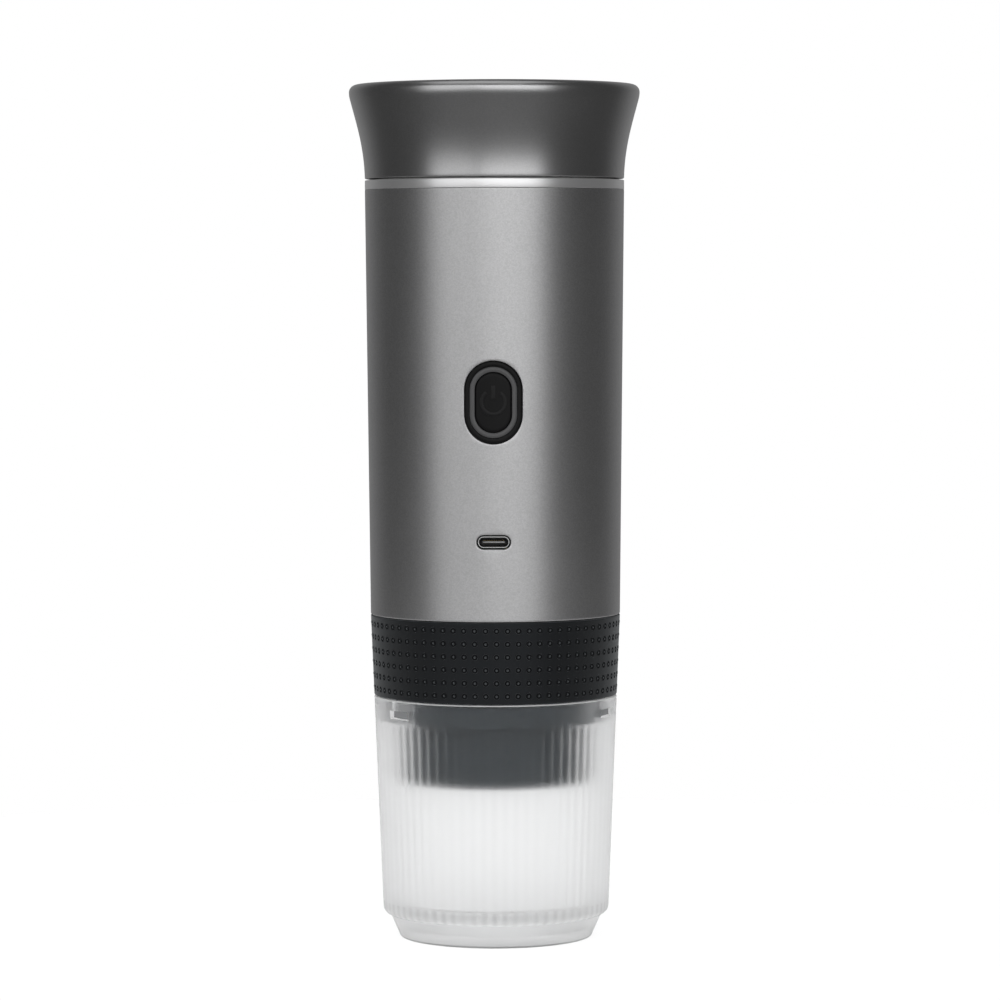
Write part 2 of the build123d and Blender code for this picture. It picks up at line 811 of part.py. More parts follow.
# Switch plunger: moves in with the button
with BuildPart() as switch_plunger:
    with BuildSketch(front_plane(plunger_tip, button_level)):
        Circle(plunger_radius)
    extrude(amount=-plunger_reach - plunger_root)
switch_plunger.part.label = "switch_plunger"
export_step(switch_plunger.part, "parts/switch_plunger.step")

# Port shell: folded steel obround tube on the board
with BuildPart() as usb_shell:
    with BuildSketch(front_plane(board_front, port_level)):
        SlotOverall(usb_width, usb_height)
        SlotOverall(usb_width - 2 * usb_wall, usb_height - 2 * usb_wall, mode=Mode.SUBTRACT)
    extrude(amount=usb_length)
usb_shell.part.label = "usb_shell"
export_step(usb_shell.part, "parts/usb_shell.step")

# Port tongue: insulating block at the back of the port with the contact blade
with BuildPart() as usb_tongue:
    with BuildSketch(front_plane(board_front, port_level)):
        SlotOverall(
            usb_width - 2 * usb_wall - 2 * tongue_fit, usb_height - 2 * usb_wall - 2 * tongue_fit
        )
    extrude(amount=tongue_base)
    with BuildSketch(front_plane(board_front, port_level)):
        Rectangle(tongue_width, tongue_thickness)
    extrude(amount=usb_length - tongue_setback)
usb_tongue.part.label = "usb_tongue"
export_step(usb_tongue.part, "parts/usb_tongue.step")

# Brew head: block that closes the shell, with the spigot, water way and screen recess
head_radius = min(shell_bottom_radius, shell_radius(head_top)) - shell_wall - shell_fit
screen_top = spigot_bottom + screen_drop + screen_thickness
screen_screw_pitch = screen_screw_share * screen_radius
with BuildPart() as brew_head:
    with Locations((0, 0, shell_bottom)):
        Cylinder(head_radius, head_flange, align=on_base)
    with Locations((0, 0, spigot_bottom)):
        Cylinder(spigot_radius, spigot_depth, align=on_base)
    with Locations((0, 0, head_top)):
        Cylinder(outlet_radius, stub_height, align=on_base)
    with Locations((0, 0, spigot_bottom)):
        Cylinder(
            screen_radius + screen_fit,
            screen_drop + screen_thickness,
            align=on_base,
            mode=Mode.SUBTRACT,
        )
    with Locations((0, 0, screen_top)):
        Cylinder(spread_radius, spread_gap, align=on_base, mode=Mode.SUBTRACT)
        with PolarLocations(screen_screw_pitch, 3):
            Cylinder(screen_boss_radius, spread_gap, align=on_base)
    with Locations((0, 0, screen_top)):
        with PolarLocations(screen_screw_pitch, 3):
            Cylinder(screen_screw_radius, screen_screw_bite, align=on_base, mode=Mode.SUBTRACT)
    with Locations((0, 0, head_top + stub_height)):
        Hole(outlet_bore)
    with Locations(*[at(place, head_top) for place in screw_places]):
        Hole(screw_radius, depth=screw_bite)
brew_head.part.label = "brew_head"
export_step(brew_head.part, "parts/brew_head.step")

# Brew gasket: soft ring under the spigot that the basket's rim presses on
with BuildPart() as brew_gasket:
    with BuildSketch(Plane.XY.offset(gasket_bottom)):
        Circle(basket_rim_radius)
        Circle(basket_inner, mode=Mode.SUBTRACT)
    extrude(amount=gasket_thickness)
brew_gasket.part.label = "brew_gasket"
export_step(brew_gasket.part, "parts/brew_gasket.step")

# Shower screen: perforated disc that spreads the water
with BuildPart() as shower_screen:
    with BuildSketch(Plane.XY.offset(screen_top - screen_thickness)):
        Circle(screen_radius)
        for share, count in zip(screen_ring_shares, screen_ring_counts):
            with PolarLocations(share * screen_radius, count):
                Circle(screen_hole_radius, mode=Mode.SUBTRACT)
        with PolarLocations(screen_screw_pitch, 3):
            Circle(screen_screw_radius, mode=Mode.SUBTRACT)
    extrude(amount=screen_thickness)
shower_screen.part.label = "shower_screen"
export_step(shower_screen.part, "parts/shower_screen.step")

# Screen screws: three, up through the screen into the brew head
screen_bottom = screen_top - screen_thickness
with BuildPart() as screen_screws:
    with BuildSketch(Plane.XY.offset(screen_bottom)):
        with PolarLocations(screen_screw_pitch, 3):
            Circle(screen_screw_head)
    extrude(amount=-screen_drop)
    with BuildSketch(Plane.XY.offset(screen_bottom)):
        with PolarLocations(screen_screw_pitch, 3):
            Circle(screen_screw_radius)
    extrude(amount=screen_thickness + screen_screw_bite)
screen_screws.part.label = "screen_screws"
export_step(screen_screws.part, "parts/screen_screws.step")

# Basket: thin steel cup for the coffee, hung by its rim, with a perforated floor
with BuildPart() as basket:
    with BuildSketch(Plane.XZ):
        with BuildLine():
            Polyline(
                (0, basket_bottom),
                (basket_outer, basket_bottom),
                (basket_outer, basket_ledge),
                (basket_rim_radius, basket_ledge),
                (basket_rim_radius, gasket_bottom),
                (basket_inner, gasket_bottom),
                (basket_inner, basket_bottom + basket_wall),
                (0, basket_bottom + basket_wall),
                close=True,
            )
        make_face()
    revolve(axis=Axis.Z)
    with BuildSketch(Plane.XY.offset(basket_bottom)):
        Circle(basket_hole_radius)
        for share, count in zip(basket_ring_shares, basket_ring_counts):
            with PolarLocations(share * basket_inner, count):
                Circle(basket_hole_radius)
    extrude(amount=basket_wall, mode=Mode.SUBTRACT)
basket.part.label = "basket"
export_step(basket.part, "parts/basket.step")

# Coffee holder: socket for the spigot, flange and drum that hang inside the cup, spout
cup_top_radius = lower_radius(cup_height)
holder_flange_radius = cup_top_radius - cup_wall - cup_fit
holder_flange_low = lower_radius(holder_flange_bottom) - cup_wall - cup_fit
groove_face = cup_top_radius - window_skin
lug_face = groove_face - lug_face_gap
band_inner_top = shell_bottom_radius - band_thickness - band_fit
with BuildPart() as brew_holder:
    with BuildSketch(Plane.XZ):
        with BuildLine():
            Polyline(
                (spout_bore, drum_bottom - spout_length),
                (spout_radius, drum_bottom - spout_length),
                (spout_radius, drum_bottom),
                (drum_outer, drum_bottom),
                (drum_outer, holder_flange_bottom),
                (holder_flange_low, holder_flange_bottom),
                (holder_flange_radius, band_bottom),
                (holder_outer, band_bottom),
                (band_inner_top, band_top),
                (socket_radius, band_top),
                (socket_radius, basket_ledge),
                (drum_inner, basket_ledge),
                (drum_inner, holder_floor_top + funnel_rise),
                (spout_bore, holder_floor_top),
                close=True,
            )
        make_face()
        fillet(near(vertices(), drum_outer, drum_bottom), drum_round)
    revolve(axis=Axis.Z)
    with Locations((0, 0, window_level)):
        with PolarLocations(0, window_count, start_angle=window_azimuth):
            Box(
                lug_face,
                window_width - 2 * lug_side_gap,
                window_height - 2 * lug_level_gap,
                align=(Align.MIN, Align.CENTER, Align.CENTER),
            )
    with Locations((0, 0, holder_floor_top + funnel_rise)):
        Cylinder(drum_inner, drum_depth, align=on_base, mode=Mode.SUBTRACT)
brew_holder.part.label = "brew_holder"
export_step(brew_holder.part, "parts/brew_holder.step")

# Grip band: soft tapered sleeve round the holder
with BuildPart() as grip_band:
    with BuildSketch(Plane.XZ):
        with BuildLine():
            Polyline(
                (band_bottom_radius - band_thickness, band_bottom),
                (band_bottom_radius, band_bottom),
                (shell_bottom_radius, band_top),
                (shell_bottom_radius - band_thickness, band_top),
                close=True,
            )
        make_face()
        fillet(near(vertices(), band_bottom_radius, band_bottom), edge_round)
        fillet(near(vertices(), shell_bottom_radius, band_top), edge_round)
    revolve(axis=Axis.Z)
grip_band.part.label = "grip_band"
export_step(grip_band.part, "parts/grip_band.step")

# Cup: tapered wall on a stepped foot, inner ribs, three windows with grooves up to the rim
shoulder_radius = lower_radius(foot_height)
foot_top_radius = shoulder_radius - shoulder_width
foot_bottom_radius = foot_top_radius - foot_flare
inner_shoulder = foot_height + cup_wall
inner_shoulder_radius = lower_radius(inner_shoulder) - cup_wall
cup_floor_top = foot_recess_depth + cup_floor
foot_recess_radius = foot_bottom_radius - foot_ring_width
foot_inner_top = foot_top_radius - foot_wall
foot_inner_bottom = foot_bottom_radius - foot_wall
rib_top = cup_height - rib_top_drop


def rib_section(level):
    wall_face = lower_radius(level) - cup_wall
    root = wall_face + rib_root
    return Plane.XY.offset(level) * Polygon(
        (root, -rib_width / 2),
        (root, rib_width / 2),
        (wall_face - rib_height, 0),
        align=None,
    )


rib = loft([rib_section(inner_shoulder), rib_section(rib_top)])
with BuildPart() as cup:
    with BuildSketch(Plane.XZ):
        with BuildLine():
            Polyline(
                (foot_recess_radius, 0),
                (foot_bottom_radius, 0),
                (foot_top_radius, foot_height),
                (shoulder_radius, foot_height),
                (cup_top_radius, cup_height),
                (cup_top_radius - cup_wall, cup_height),
                (inner_shoulder_radius, inner_shoulder),
                (foot_inner_top, inner_shoulder),
                (foot_inner_bottom, cup_floor_top),
                (0, cup_floor_top),
                (0, foot_recess_depth),
                (foot_recess_radius, foot_recess_depth),
                close=True,
            )
        make_face()
        fillet(near(vertices(), shoulder_radius, foot_height), shoulder_round)
        fillet(near(vertices(), inner_shoulder_radius, inner_shoulder), cup_inner_round)
        fillet(near(vertices(), foot_inner_bottom, cup_floor_top), foot_inner_round)
        fillet(near(vertices(), foot_bottom_radius, 0), rim_round)
        fillet(near(vertices(), cup_top_radius, cup_height), rim_round)
        fillet(near(vertices(), cup_top_radius - cup_wall, cup_height), rim_round)
    revolve(axis=Axis.Z)
    with PolarLocations(0, rib_count):
        add(rib)
    with Locations((0, 0, window_level)):
        with PolarLocations(0, window_count, start_angle=window_azimuth):
            Box(
                cup_top_radius + overrun,
                window_width,
                window_height,
                align=(Align.MIN, Align.CENTER, Align.CENTER),
                mode=Mode.SUBTRACT,
            )
            Box(
                groove_face,
                window_width,
                window_drop + overrun,
                align=(Align.MIN, Align.CENTER, Align.MIN),
                mode=Mode.SUBTRACT,
            )
cup.part.label = "cup"
export_step(cup.part, "parts/cup.step")
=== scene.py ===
"""Portable espresso machine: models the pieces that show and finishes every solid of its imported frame."""

import math

import bmesh
import bpy
from mathutils import Matrix, Vector


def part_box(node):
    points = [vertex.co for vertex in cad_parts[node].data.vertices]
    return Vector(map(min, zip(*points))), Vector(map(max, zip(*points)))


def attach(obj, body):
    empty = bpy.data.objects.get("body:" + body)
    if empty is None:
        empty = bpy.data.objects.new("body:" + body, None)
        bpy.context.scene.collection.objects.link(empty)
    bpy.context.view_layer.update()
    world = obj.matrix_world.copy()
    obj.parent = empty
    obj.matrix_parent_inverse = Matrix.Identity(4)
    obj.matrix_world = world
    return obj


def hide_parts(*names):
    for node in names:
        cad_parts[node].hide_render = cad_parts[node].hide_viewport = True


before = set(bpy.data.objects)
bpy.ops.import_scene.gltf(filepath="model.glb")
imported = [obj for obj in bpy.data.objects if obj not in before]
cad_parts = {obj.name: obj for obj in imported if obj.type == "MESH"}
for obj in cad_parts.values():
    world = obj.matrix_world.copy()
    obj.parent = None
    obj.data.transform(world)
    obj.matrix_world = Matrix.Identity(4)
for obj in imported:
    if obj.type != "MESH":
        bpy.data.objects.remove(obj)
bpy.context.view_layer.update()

bl_info = {
    "name": "Portable Espresso Machine",
    "version": (1, 0, 0),
    "blender": (4, 5, 0),
    "location": "3D View > Sidebar > Espresso",
    "description": "Models and finishes a portable espresso machine on its packed frame",
    "category": "Object",
}

MM = 0.001
MICRON = 0.000001
TURN = 2 * math.pi
CENTRE = (0, 0, 0)
UPRIGHT = (math.pi / 2, 0, 0)
SEAM = 2 * MICRON  # points nearer than this are one
SLACK = 10 * MICRON  # slack where places are compared


# Sizes and colours that a user may change

def length(name, description, millimetres):
    return bpy.props.FloatProperty(
        name=name, description=description, default=millimetres * MM, unit="LENGTH", precision=5
    )


def count(name, description, number):
    return bpy.props.IntProperty(name=name, description=description, default=number, min=1)


def angle(name, description, degrees):
    return bpy.props.FloatProperty(
        name=name, description=description, default=math.radians(degrees), subtype="ANGLE"
    )


def colour(name, description, red, green, blue):
    return bpy.props.FloatVectorProperty(
        name=name, description=description, default=(red, green, blue), subtype="COLOR", min=0, max=1
    )


class EspressoSizes(bpy.types.PropertyGroup):
    """Sizes of the pieces that are modelled here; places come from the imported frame."""

    lid_rim: length("Lid rim", "Radius of the lid's top edge", 2.2)
    lid_wall: length("Lid wall", "Thickness of the lid's wall", 2.2)
    edge: length("Edge", "Radius of the small edges on the metal", 0.3)
    shell_wall: length("Shell wall", "Thickness of the outer shell", 1.2)
    ring_width: length("Ring width", "Width of the trim ring across its top", 3.1)
    bezel_width: length("Bezel width", "Width of the black surround of the button", 16.25)
    bezel_height: length("Bezel height", "Height of the black surround of the button", 23.25)
    bezel_proud: length("Bezel proud", "How far the surround stands out of the shell", 0.25)
    bezel_lip: length("Bezel lip", "Width of the lip behind the shell", 2.0)
    light_width: length("Light width", "Width of the grey light ring", 13.5)
    light_height: length("Light height", "Height of the grey light ring", 20.2)
    light_rim: length("Light rim", "Width of the light ring's band", 1.5)
    button_gap: length("Button gap", "Gap between the button and the light ring", 0.12)
    button_depth: length("Button depth", "Thickness of the button's cap", 2.0)
    stem: length("Stem", "Radius of the button's stem", 2.0)
    symbol_radius: length("Symbol radius", "Outer radius of the power symbol", 3.9)
    symbol_line: length("Symbol line", "Line width of the power symbol", 1.1)
    symbol_rise: length("Symbol rise", "Height of the raised power symbol", 0.12)
    port_gap: length("Port gap", "Gap between the shell and the port's steel tube", 0.38)
    port_wall: length("Port wall", "Thickness of the port's steel tube", 0.3)
    contact_pitch: length("Contact pitch", "Distance between the port's contacts", 0.5)
    band_wall: length("Band wall", "Thickness of the grip band", 2.0)
    dimple_radius: length("Dimple radius", "Radius of a dimple in the grip band", 0.94)
    dimple_depth: length("Dimple depth", "Depth of the groove round a dimple's knob", 0.4)
    dimple_turn: angle("Dimple turn", "Turn of the dimples from the front", 1.2)
    dimple_rows: count("Dimple rows", "Rows of dimples round the grip band", 6)
    dimple_columns: count("Dimple columns", "Dimples in one row", 72)
    dimple_pitch: length("Dimple pitch", "Height between rows of dimples", 3.72)
    cup_wall: length("Cup wall", "Thickness of the cup's wall", 2.4)
    cup_floor: length("Cup floor", "Height of the cup's floor above the table", 3.2)
    foot_height: length("Foot height", "Height of the cup's stepped foot", 6.7)
    foot_step: length("Foot step", "Width of the step above the foot", 1.95)
    foot_flare: length("Foot flare", "How much the foot narrows to the table", 2.9)
    foot_rim: length("Foot rim", "Width of the rim that the cup stands on", 4.5)
    foot_recess: length("Foot recess", "Depth of the recess under the foot", 0.8)
    rib_count: count("Ribs", "Ribs inside the cup", 68)
    rib_height: length("Rib height", "How far a rib stands into the cup", 0.24)
    ledge: length("Ledge", "Height of the thick ring inside the cup's shoulder", 10.8)
    ledge_width: length("Ledge width", "Width of the thick ring inside the cup's shoulder", 1.4)
    rib_top: length("Rib top", "How far the ribs end below the cup's rim", 8.0)
    window_width: length("Window width", "Width of a snap window in the cup", 9.0)
    window_height: length("Window height", "Height of a snap window in the cup", 2.4)
    window_drop: length("Window drop", "Depth of a window's middle below the rim", 4.1)
    window_turn: angle("Window turn", "Place of the first window round the cup", 218.0)
    spout_length: length("Spout length", "How far the spout hangs below the drum's floor", 2.5)
    skirt_radius: length("Skirt radius", "Outer radius of the drip skirt", 25.98)
    skirt_wall: length("Skirt wall", "Thickness of the drip skirt", 2.1)
    skirt_depth: length("Skirt depth", "How far the drip skirt hangs below the drum's floor", 1.7)
    skirt_overlap: length("Skirt overlap", "How far the drip skirt covers the drum's lower edge", 2.3)
    plug_radius: length("Plug radius", "Core of the thread on the lid's plug", 27.0)
    spigot_radius: length("Spigot radius", "Core of the thread on the brew head's spigot", 27.92)
    thread_rise: length("Thread rise", "Height of a thread ridge above its core", 0.75)


class EspressoColours(bpy.types.PropertyGroup):
    """Colours of the finishes."""

    gunmetal: colour("Gunmetal", "Satin metal of the shell and the lid", 0.49, 0.49, 0.495)
    bright_metal: colour("Bright metal", "Brushed trim ring", 0.75, 0.75, 0.755)
    rubber: colour("Rubber", "Grip band", 0.0028, 0.003, 0.0036)
    # the knob colour is a painted highlight on the tips of the grip band's knobs
    knob: colour("Knob", "Highlighted tips of the grip band's knobs", 0.05, 0.053, 0.057)
    black: colour("Black", "Button and its surround", 0.003, 0.003, 0.0032)
    light_grey: colour("Light ring", "Unlit ring round the button", 0.06, 0.06, 0.0615)
    frost: colour("Frost", "Frosted plastic of the cup", 0.985, 0.988, 0.99)
    holder: colour("Holder", "Coffee holder inside the cup", 0.0208, 0.0262, 0.0308)
    lug: colour("Lug", "Snap lugs of the coffee holder", 0.25, 0.255, 0.26)


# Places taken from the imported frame

BOXES = {node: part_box(node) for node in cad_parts}
SHELL_FOOT = 36.1 * MM
LOWER_SLOPE = math.tan(math.radians(2.3))


def low(node):
    return BOXES[node][0].z


def high(node):
    return BOXES[node][1].z


def middle(node):
    return (low(node) + high(node)) / 2


def reach(node):
    return BOXES[node][1].x


def front_of(node):
    return BOXES[node][0].y


def back_of(node):
    return BOXES[node][1].y


def shell_radius(level):
    """Outer radius of the tapered shell at a level."""
    share = (level - low("outer_shell")) / (high("outer_shell") - low("outer_shell"))
    return SHELL_FOOT + (reach("trim_ring") - SHELL_FOOT) * share


def lower_radius(level):
    """Outer radius of the tapered band and cup at a level."""
    return SHELL_FOOT - (high("grip_band") - level) * LOWER_SLOPE


# Modelling moves

def set_down():
    """Leave edit mode with nothing selected."""
    if bpy.context.object and bpy.context.object.mode != "OBJECT":
        bpy.ops.object.mode_set(mode="OBJECT")
    bpy.ops.object.select_all(action="DESELECT")


def hold(piece):
    """Make a piece the only one selected."""
    set_down()
    piece.select_set(True)
    bpy.context.view_layer.objects.active = piece


def open_up():
    """Open the held piece for editing, all of it selected."""
    bpy.ops.object.mode_set(mode="EDIT")
    bpy.ops.mesh.select_mode(type="VERT")
    everything()


def everything():
    bpy.ops.mesh.select_all(action="SELECT")


def pick(test, kind="VERT"):
    """Select only the vertices, edges or faces of the open piece that pass a test."""
    bpy.ops.mesh.select_mode(type=kind)
    bpy.ops.mesh.select_all(action="DESELECT")
    form = bmesh.from_edit_mesh(bpy.context.object.data)
    for item in {"VERT": form.verts, "EDGE": form.edges, "FACE": form.faces}[kind]:
        if test(item):
            item.select_set(True)
    form.select_flush_mode()
    bmesh.update_edit_mesh(bpy.context.object.data)


def settle(place):
    """Move each selected vertex of the open piece to where place says."""
    form = bmesh.from_edit_mesh(bpy.context.object.data)
    for vertex in form.verts:
        if vertex.select:
            vertex.co = place(vertex.co)
    bmesh.update_edit_mesh(bpy.context.object.data)


def draw_out():
    """Extrude the selected edges in place, ready to be moved."""
    bpy.ops.mesh.extrude_edges_move(TRANSFORM_OT_translate={"value": CENTRE})


def scale_flat(size, centre=CENTRE):
    """Scale what is selected across the front, about a centre."""
    bpy.ops.transform.resize(value=(size, 1, size), center_override=centre)


def spin(steps, copies=False):
    """Spin what is selected once round the upright axis, or set copies of it round."""
    bpy.ops.mesh.spin(steps=steps, angle=TURN, dupli=copies, center=CENTRE, axis=(0, 0, 1))


def copy_on(step, times=1):
    """Copy what is selected on by a step, a number of times, and leave all selected."""
    for _ in range(times):
        bpy.ops.mesh.duplicate_move(TRANSFORM_OT_translate={"value": step})
    everything()


def merge(gap=SEAM):
    """Join the open piece's points that lie within a gap, and leave all selected."""
    everything()
    bpy.ops.mesh.remove_doubles(threshold=gap)
    everything()


def tidy_mesh():
    """Close the open piece's seams and turn its faces outwards."""
    merge()
    bpy.ops.mesh.delete_loose(use_verts=True, use_edges=True, use_faces=False)
    everything()
    bpy.ops.mesh.normals_make_consistent(inside=False)


def apply_modifier(piece, kind, **settings):
    hold(piece)
    modifier = piece.modifiers.new(kind.title(), kind)
    for name, value in settings.items():
        setattr(modifier, name, value)
    bpy.ops.object.modifier_apply(modifier=modifier.name)


def soften(piece, width, segments):
    """Bevel a piece's sharp edges."""
    apply_modifier(
        piece, "BEVEL", width=width, segments=segments, limit_method="ANGLE",
        angle_limit=math.radians(50), use_clamp_overlap=False,
    )


def done(piece, body, slot, replaces=(), smooth=35, finish=None):
    """Shade a closed piece, hang it on its body and give it its slot's finish, or another one."""
    hold(piece)
    form = bmesh.new()
    form.from_mesh(piece.data)
    closed = all(edge.is_manifold for edge in form.edges)
    form.free()
    if not closed:
        raise RuntimeError(f"{piece.name} is not closed")
    bpy.ops.object.transform_apply(location=True, rotation=True, scale=True)
    bpy.ops.object.shade_smooth_by_angle(angle=math.radians(smooth))
    piece.data.materials.clear()
    piece.data.materials.append(finish_of(finish or slot))
    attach(piece, body)
    if replaces:
        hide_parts(*replaces)
    set_down()


def quarter(steps, first=1):
    """(sine, cosine) pairs along a quarter turn."""
    turns = [math.pi / 2 * step / steps for step in range(first, steps + 1)]
    return [(math.sin(turn), math.cos(turn)) for turn in turns]


def rounded(corners, steps):
    """Outline through (radius, level) corners; a third number rounds that corner."""
    outline = []
    for index, corner in enumerate(corners):
        here = Vector(corner[:2])
        if len(corner) < 3:
            outline.append(here)
            continue
        back = (Vector(corners[index - 1][:2]) - here).normalized()
        ahead = (Vector(corners[(index + 1) % len(corners)][:2]) - here).normalized()
        half = back.angle(ahead) / 2
        run = corner[2] / math.tan(half)
        centre = here + (back + ahead).normalized() * corner[2] / math.sin(half)
        start = here + back * run - centre
        sweep = start.angle_signed(here + ahead * run - centre)
        for step in range(steps + 1):
            outline.append(centre + Matrix.Rotation(-sweep * step / steps, 2) @ start)
    return outline


def new_piece(name):
    """An empty piece, open for editing."""
    set_down()
    bpy.ops.mesh.primitive_plane_add(size=MM)
    piece = bpy.context.object
    piece.name = name
    piece.data.name = name
    open_up()
    bpy.ops.mesh.delete(type="VERT")
    return piece


def turned(name, outline, steps, closed=True):
    """Draw an outline of (radius, level) points and spin it once round the upright axis."""
    piece = new_piece(name)
    first = outline[0]
    bpy.ops.mesh.primitive_plane_add(size=MM, location=(first[0], 0, first[1]))
    bpy.ops.mesh.merge(type="CENTER")
    route = list(outline) + ([first] if closed else [])
    for before, after in zip(route, route[1:]):
        step = (after[0] - before[0], 0, after[1] - before[1])
        bpy.ops.mesh.extrude_vertices_move(TRANSFORM_OT_translate={"value": step})
    merge()
    spin(steps)
    tidy_mesh()
    return piece


def add_obround(width, height, level, points, upright=True):
    """Add a loop with round ends to the open piece, on the plane of the axis, left selected."""
    across, along = (width, height) if upright else (height, width)
    bpy.ops.mesh.select_all(action="DESELECT")
    bpy.ops.mesh.primitive_circle_add(
        vertices=points, radius=across / 2, location=(0, 0, level), rotation=UPRIGHT
    )
    half = math.pi / points

    def drawn(point):
        x, z = point.x, point.z - level
        x, z = x * math.cos(half) - z * math.sin(half), x * math.sin(half) + z * math.cos(half)
        if upright:
            z += math.copysign((along - across) / 2, z)
        else:
            x += math.copysign((along - across) / 2, x)
        return Vector((x, 0, level + z))

    settle(drawn)


def on_front(out):
    """Place on the shell's curved front, standing out by a distance."""

    def place(point):
        radius = shell_radius(point.z) + out
        return Vector((point.x, -math.sqrt(radius**2 - point.x**2), point.z))

    return place


def at_depth(depth):
    """Place on a flat plane behind the front."""
    return lambda point: Vector((point.x, depth, point.z))


def at_radius(point, radius, level):
    """The point's direction from the axis, at another radius and level."""
    flat = Vector((point.x, point.y)).normalized() * radius
    return Vector((flat.x, flat.y, level))


def soft_edge(size, edge, out, first=0):
    """Loops that round the front edge of an obround over to its side."""
    return [
        (size, 2 * edge * (sine - 1), on_front(out + edge * (cosine - 1))) for sine, cosine in quarter(4, first)
    ]


def stacked(name, loops, level, points, upright=True, ring=False):
    """Bridge a stack of obround loops of (size, growth, place); a ring joins last to first."""
    piece = new_piece(name)
    for (width, height), growth, place in loops:
        add_obround(width + growth, height + growth, level, points, upright)
        settle(place)
    order = list(range(len(loops)))
    pairs = list(zip(order, order[1:])) + ([(order[-1], 0)] if ring else [])
    for pair in pairs:
        pick(lambda vertex: vertex.index // points in pair)
        bpy.ops.mesh.select_mode(type="EDGE")
        bpy.ops.mesh.bridge_edge_loops()
    if not ring:
        for end in (order[0], order[-1]):
            pick(lambda vertex: vertex.index // points == end)
            bpy.ops.mesh.edge_face_add()
    tidy_mesh()
    return piece


# Finishes

class Lead:
    """An output of a node. Sums on leads add the nodes that work them out."""

    def __init__(self, recipe, socket):
        self.recipe = recipe
        self.socket = socket

    def __add__(self, other):
        return self.recipe.maths("ADD", self, other)

    def __radd__(self, other):
        return self.recipe.maths("ADD", other, self)

    def __sub__(self, other):
        return self.recipe.maths("SUBTRACT", self, other)

    def __rsub__(self, other):
        return self.recipe.maths("SUBTRACT", other, self)

    def __mul__(self, other):
        return self.recipe.maths("MULTIPLY", self, other)

    def __rmul__(self, other):
        return self.recipe.maths("MULTIPLY", other, self)

    def __gt__(self, other):
        return self.recipe.maths("GREATER_THAN", self, other)


class Recipe:
    """Node tree of a material or of the surroundings, under construction."""

    def __init__(self, owner):
        self.owner = owner
        owner.use_nodes = True
        self.tree = owner.node_tree
        self.tree.nodes.clear()

    def node(self, kind, settings=None, sockets=None, output=0):
        """Add a shader node: its settings first, then values or leads by socket."""
        node = self.tree.nodes.new("ShaderNode" + kind)
        for name, value in (settings or {}).items():
            setattr(node, name, value)
        for key, value in (sockets or {}).items():
            if isinstance(value, Lead):
                self.tree.links.new(value.socket, node.inputs[key])
            else:
                node.inputs[key].default_value = value
        return Lead(self, node.outputs[output]) if node.outputs else None

    def maths(self, operation, *terms):
        return self.node("Math", {"operation": operation}, dict(enumerate(terms)))

    def place(self, stretch=(1, 1, 1), turn=CENTRE):
        """Object coordinates, stretched and turned."""
        where = self.node("TexCoord", output=3)
        return self.node("Mapping", None, {"Vector": where, "Scale": stretch, "Rotation": turn})

    def noise(self, scale, detail=2.0, stretch=(1, 1, 1)):
        sockets = {"Vector": self.place(stretch), "Scale": scale, "Detail": detail, "Roughness": 0.6}
        return self.node("TexNoise", None, sockets)

    def cells(self, scale, stretch=(1, 1, 1), output=0):
        """Scattered cells: the distance to the nearest, or with output 1 a colour for each."""
        return self.node("TexVoronoi", None, {"Vector": self.place(stretch), "Scale": scale}, output)

    def part(self, axis):
        """One of the Object coordinates, 0 to 2."""
        return self.node("SeparateXYZ", None, {"Vector": self.place()}, axis)

    def out(self):
        """Distance from the upright axis."""
        return self.node("VectorMath", {"operation": "LENGTH"}, {0: self.place((1, 1, 0))}, output=1)

    def turn(self):
        """Angle round the upright axis."""
        return self.maths("ARCTAN2", self.part(1), self.part(0))

    def ease(self, value, start, end, first, last):
        """Smooth change from first to last while a value goes from start to end."""
        sockets = {"Value": value, "From Min": start, "From Max": end, "To Min": first, "To Max": last}
        return self.node("MapRange", {"interpolation_type": "SMOOTHSTEP"}, sockets)

    def shades(self, factor, first, second):
        """Blend of two colours, either of which may be a lead."""
        first, second = [end if isinstance(end, Lead) else (*end, 1) for end in (first, second)]
        return self.node("Mix", {"data_type": "RGBA"}, {0: factor, 6: first, 7: second}, output=2)

    def drift(self, factor, shade, spread):
        """A colour that varies by a spread to both sides."""
        return self.shades(factor, dulled(shade, 1 - spread), dulled(shade, 1 + spread))

    def bump(self, height, microns):
        return self.node("Bump", None, {"Height": height, "Distance": microns * MICRON, "Strength": 1.0})

    def light_paths(self):
        """Whether light goes to the eye, to a mirror and through clear plastic."""
        return [self.node("LightPath", output=output) for output in (0, 3, 6)]

    def shown(self, shader):
        """Show a shader, and hand back the material or the surroundings."""
        kind = "OutputWorld" if isinstance(self.owner, bpy.types.World) else "OutputMaterial"
        self.node(kind, None, {"Surface": shader})
        return self.owner

    def painted(self, sockets):
        """Show one principled shader, with values or leads by socket."""
        return self.shown(self.node("BsdfPrincipled", None, sockets))


def new_recipe(name):
    return Recipe(bpy.data.materials.new(name))


def dulled(shade, share):
    return tuple(max(0.0, min(1.0, channel * share)) for channel in shade)


def grained(name, shade, rough, metal, grain, microns, spread, stretch=1, shine=0.5):
    """Finish with fine grain in its bump and gloss, and a slow drift of tone."""
    recipe = new_recipe(name)
    fine, slow = recipe.noise(grain, 3.0, (1, 1, stretch)), recipe.noise(45.0)
    return recipe.painted({
        "Base Color": recipe.drift(slow, shade, spread),
        "Metallic": metal,
        "Roughness": rough - 0.06 + 0.08 * fine + 0.04 * slow,
        "Specular IOR Level": shine,
        "Normal": recipe.bump(fine, microns),
    })


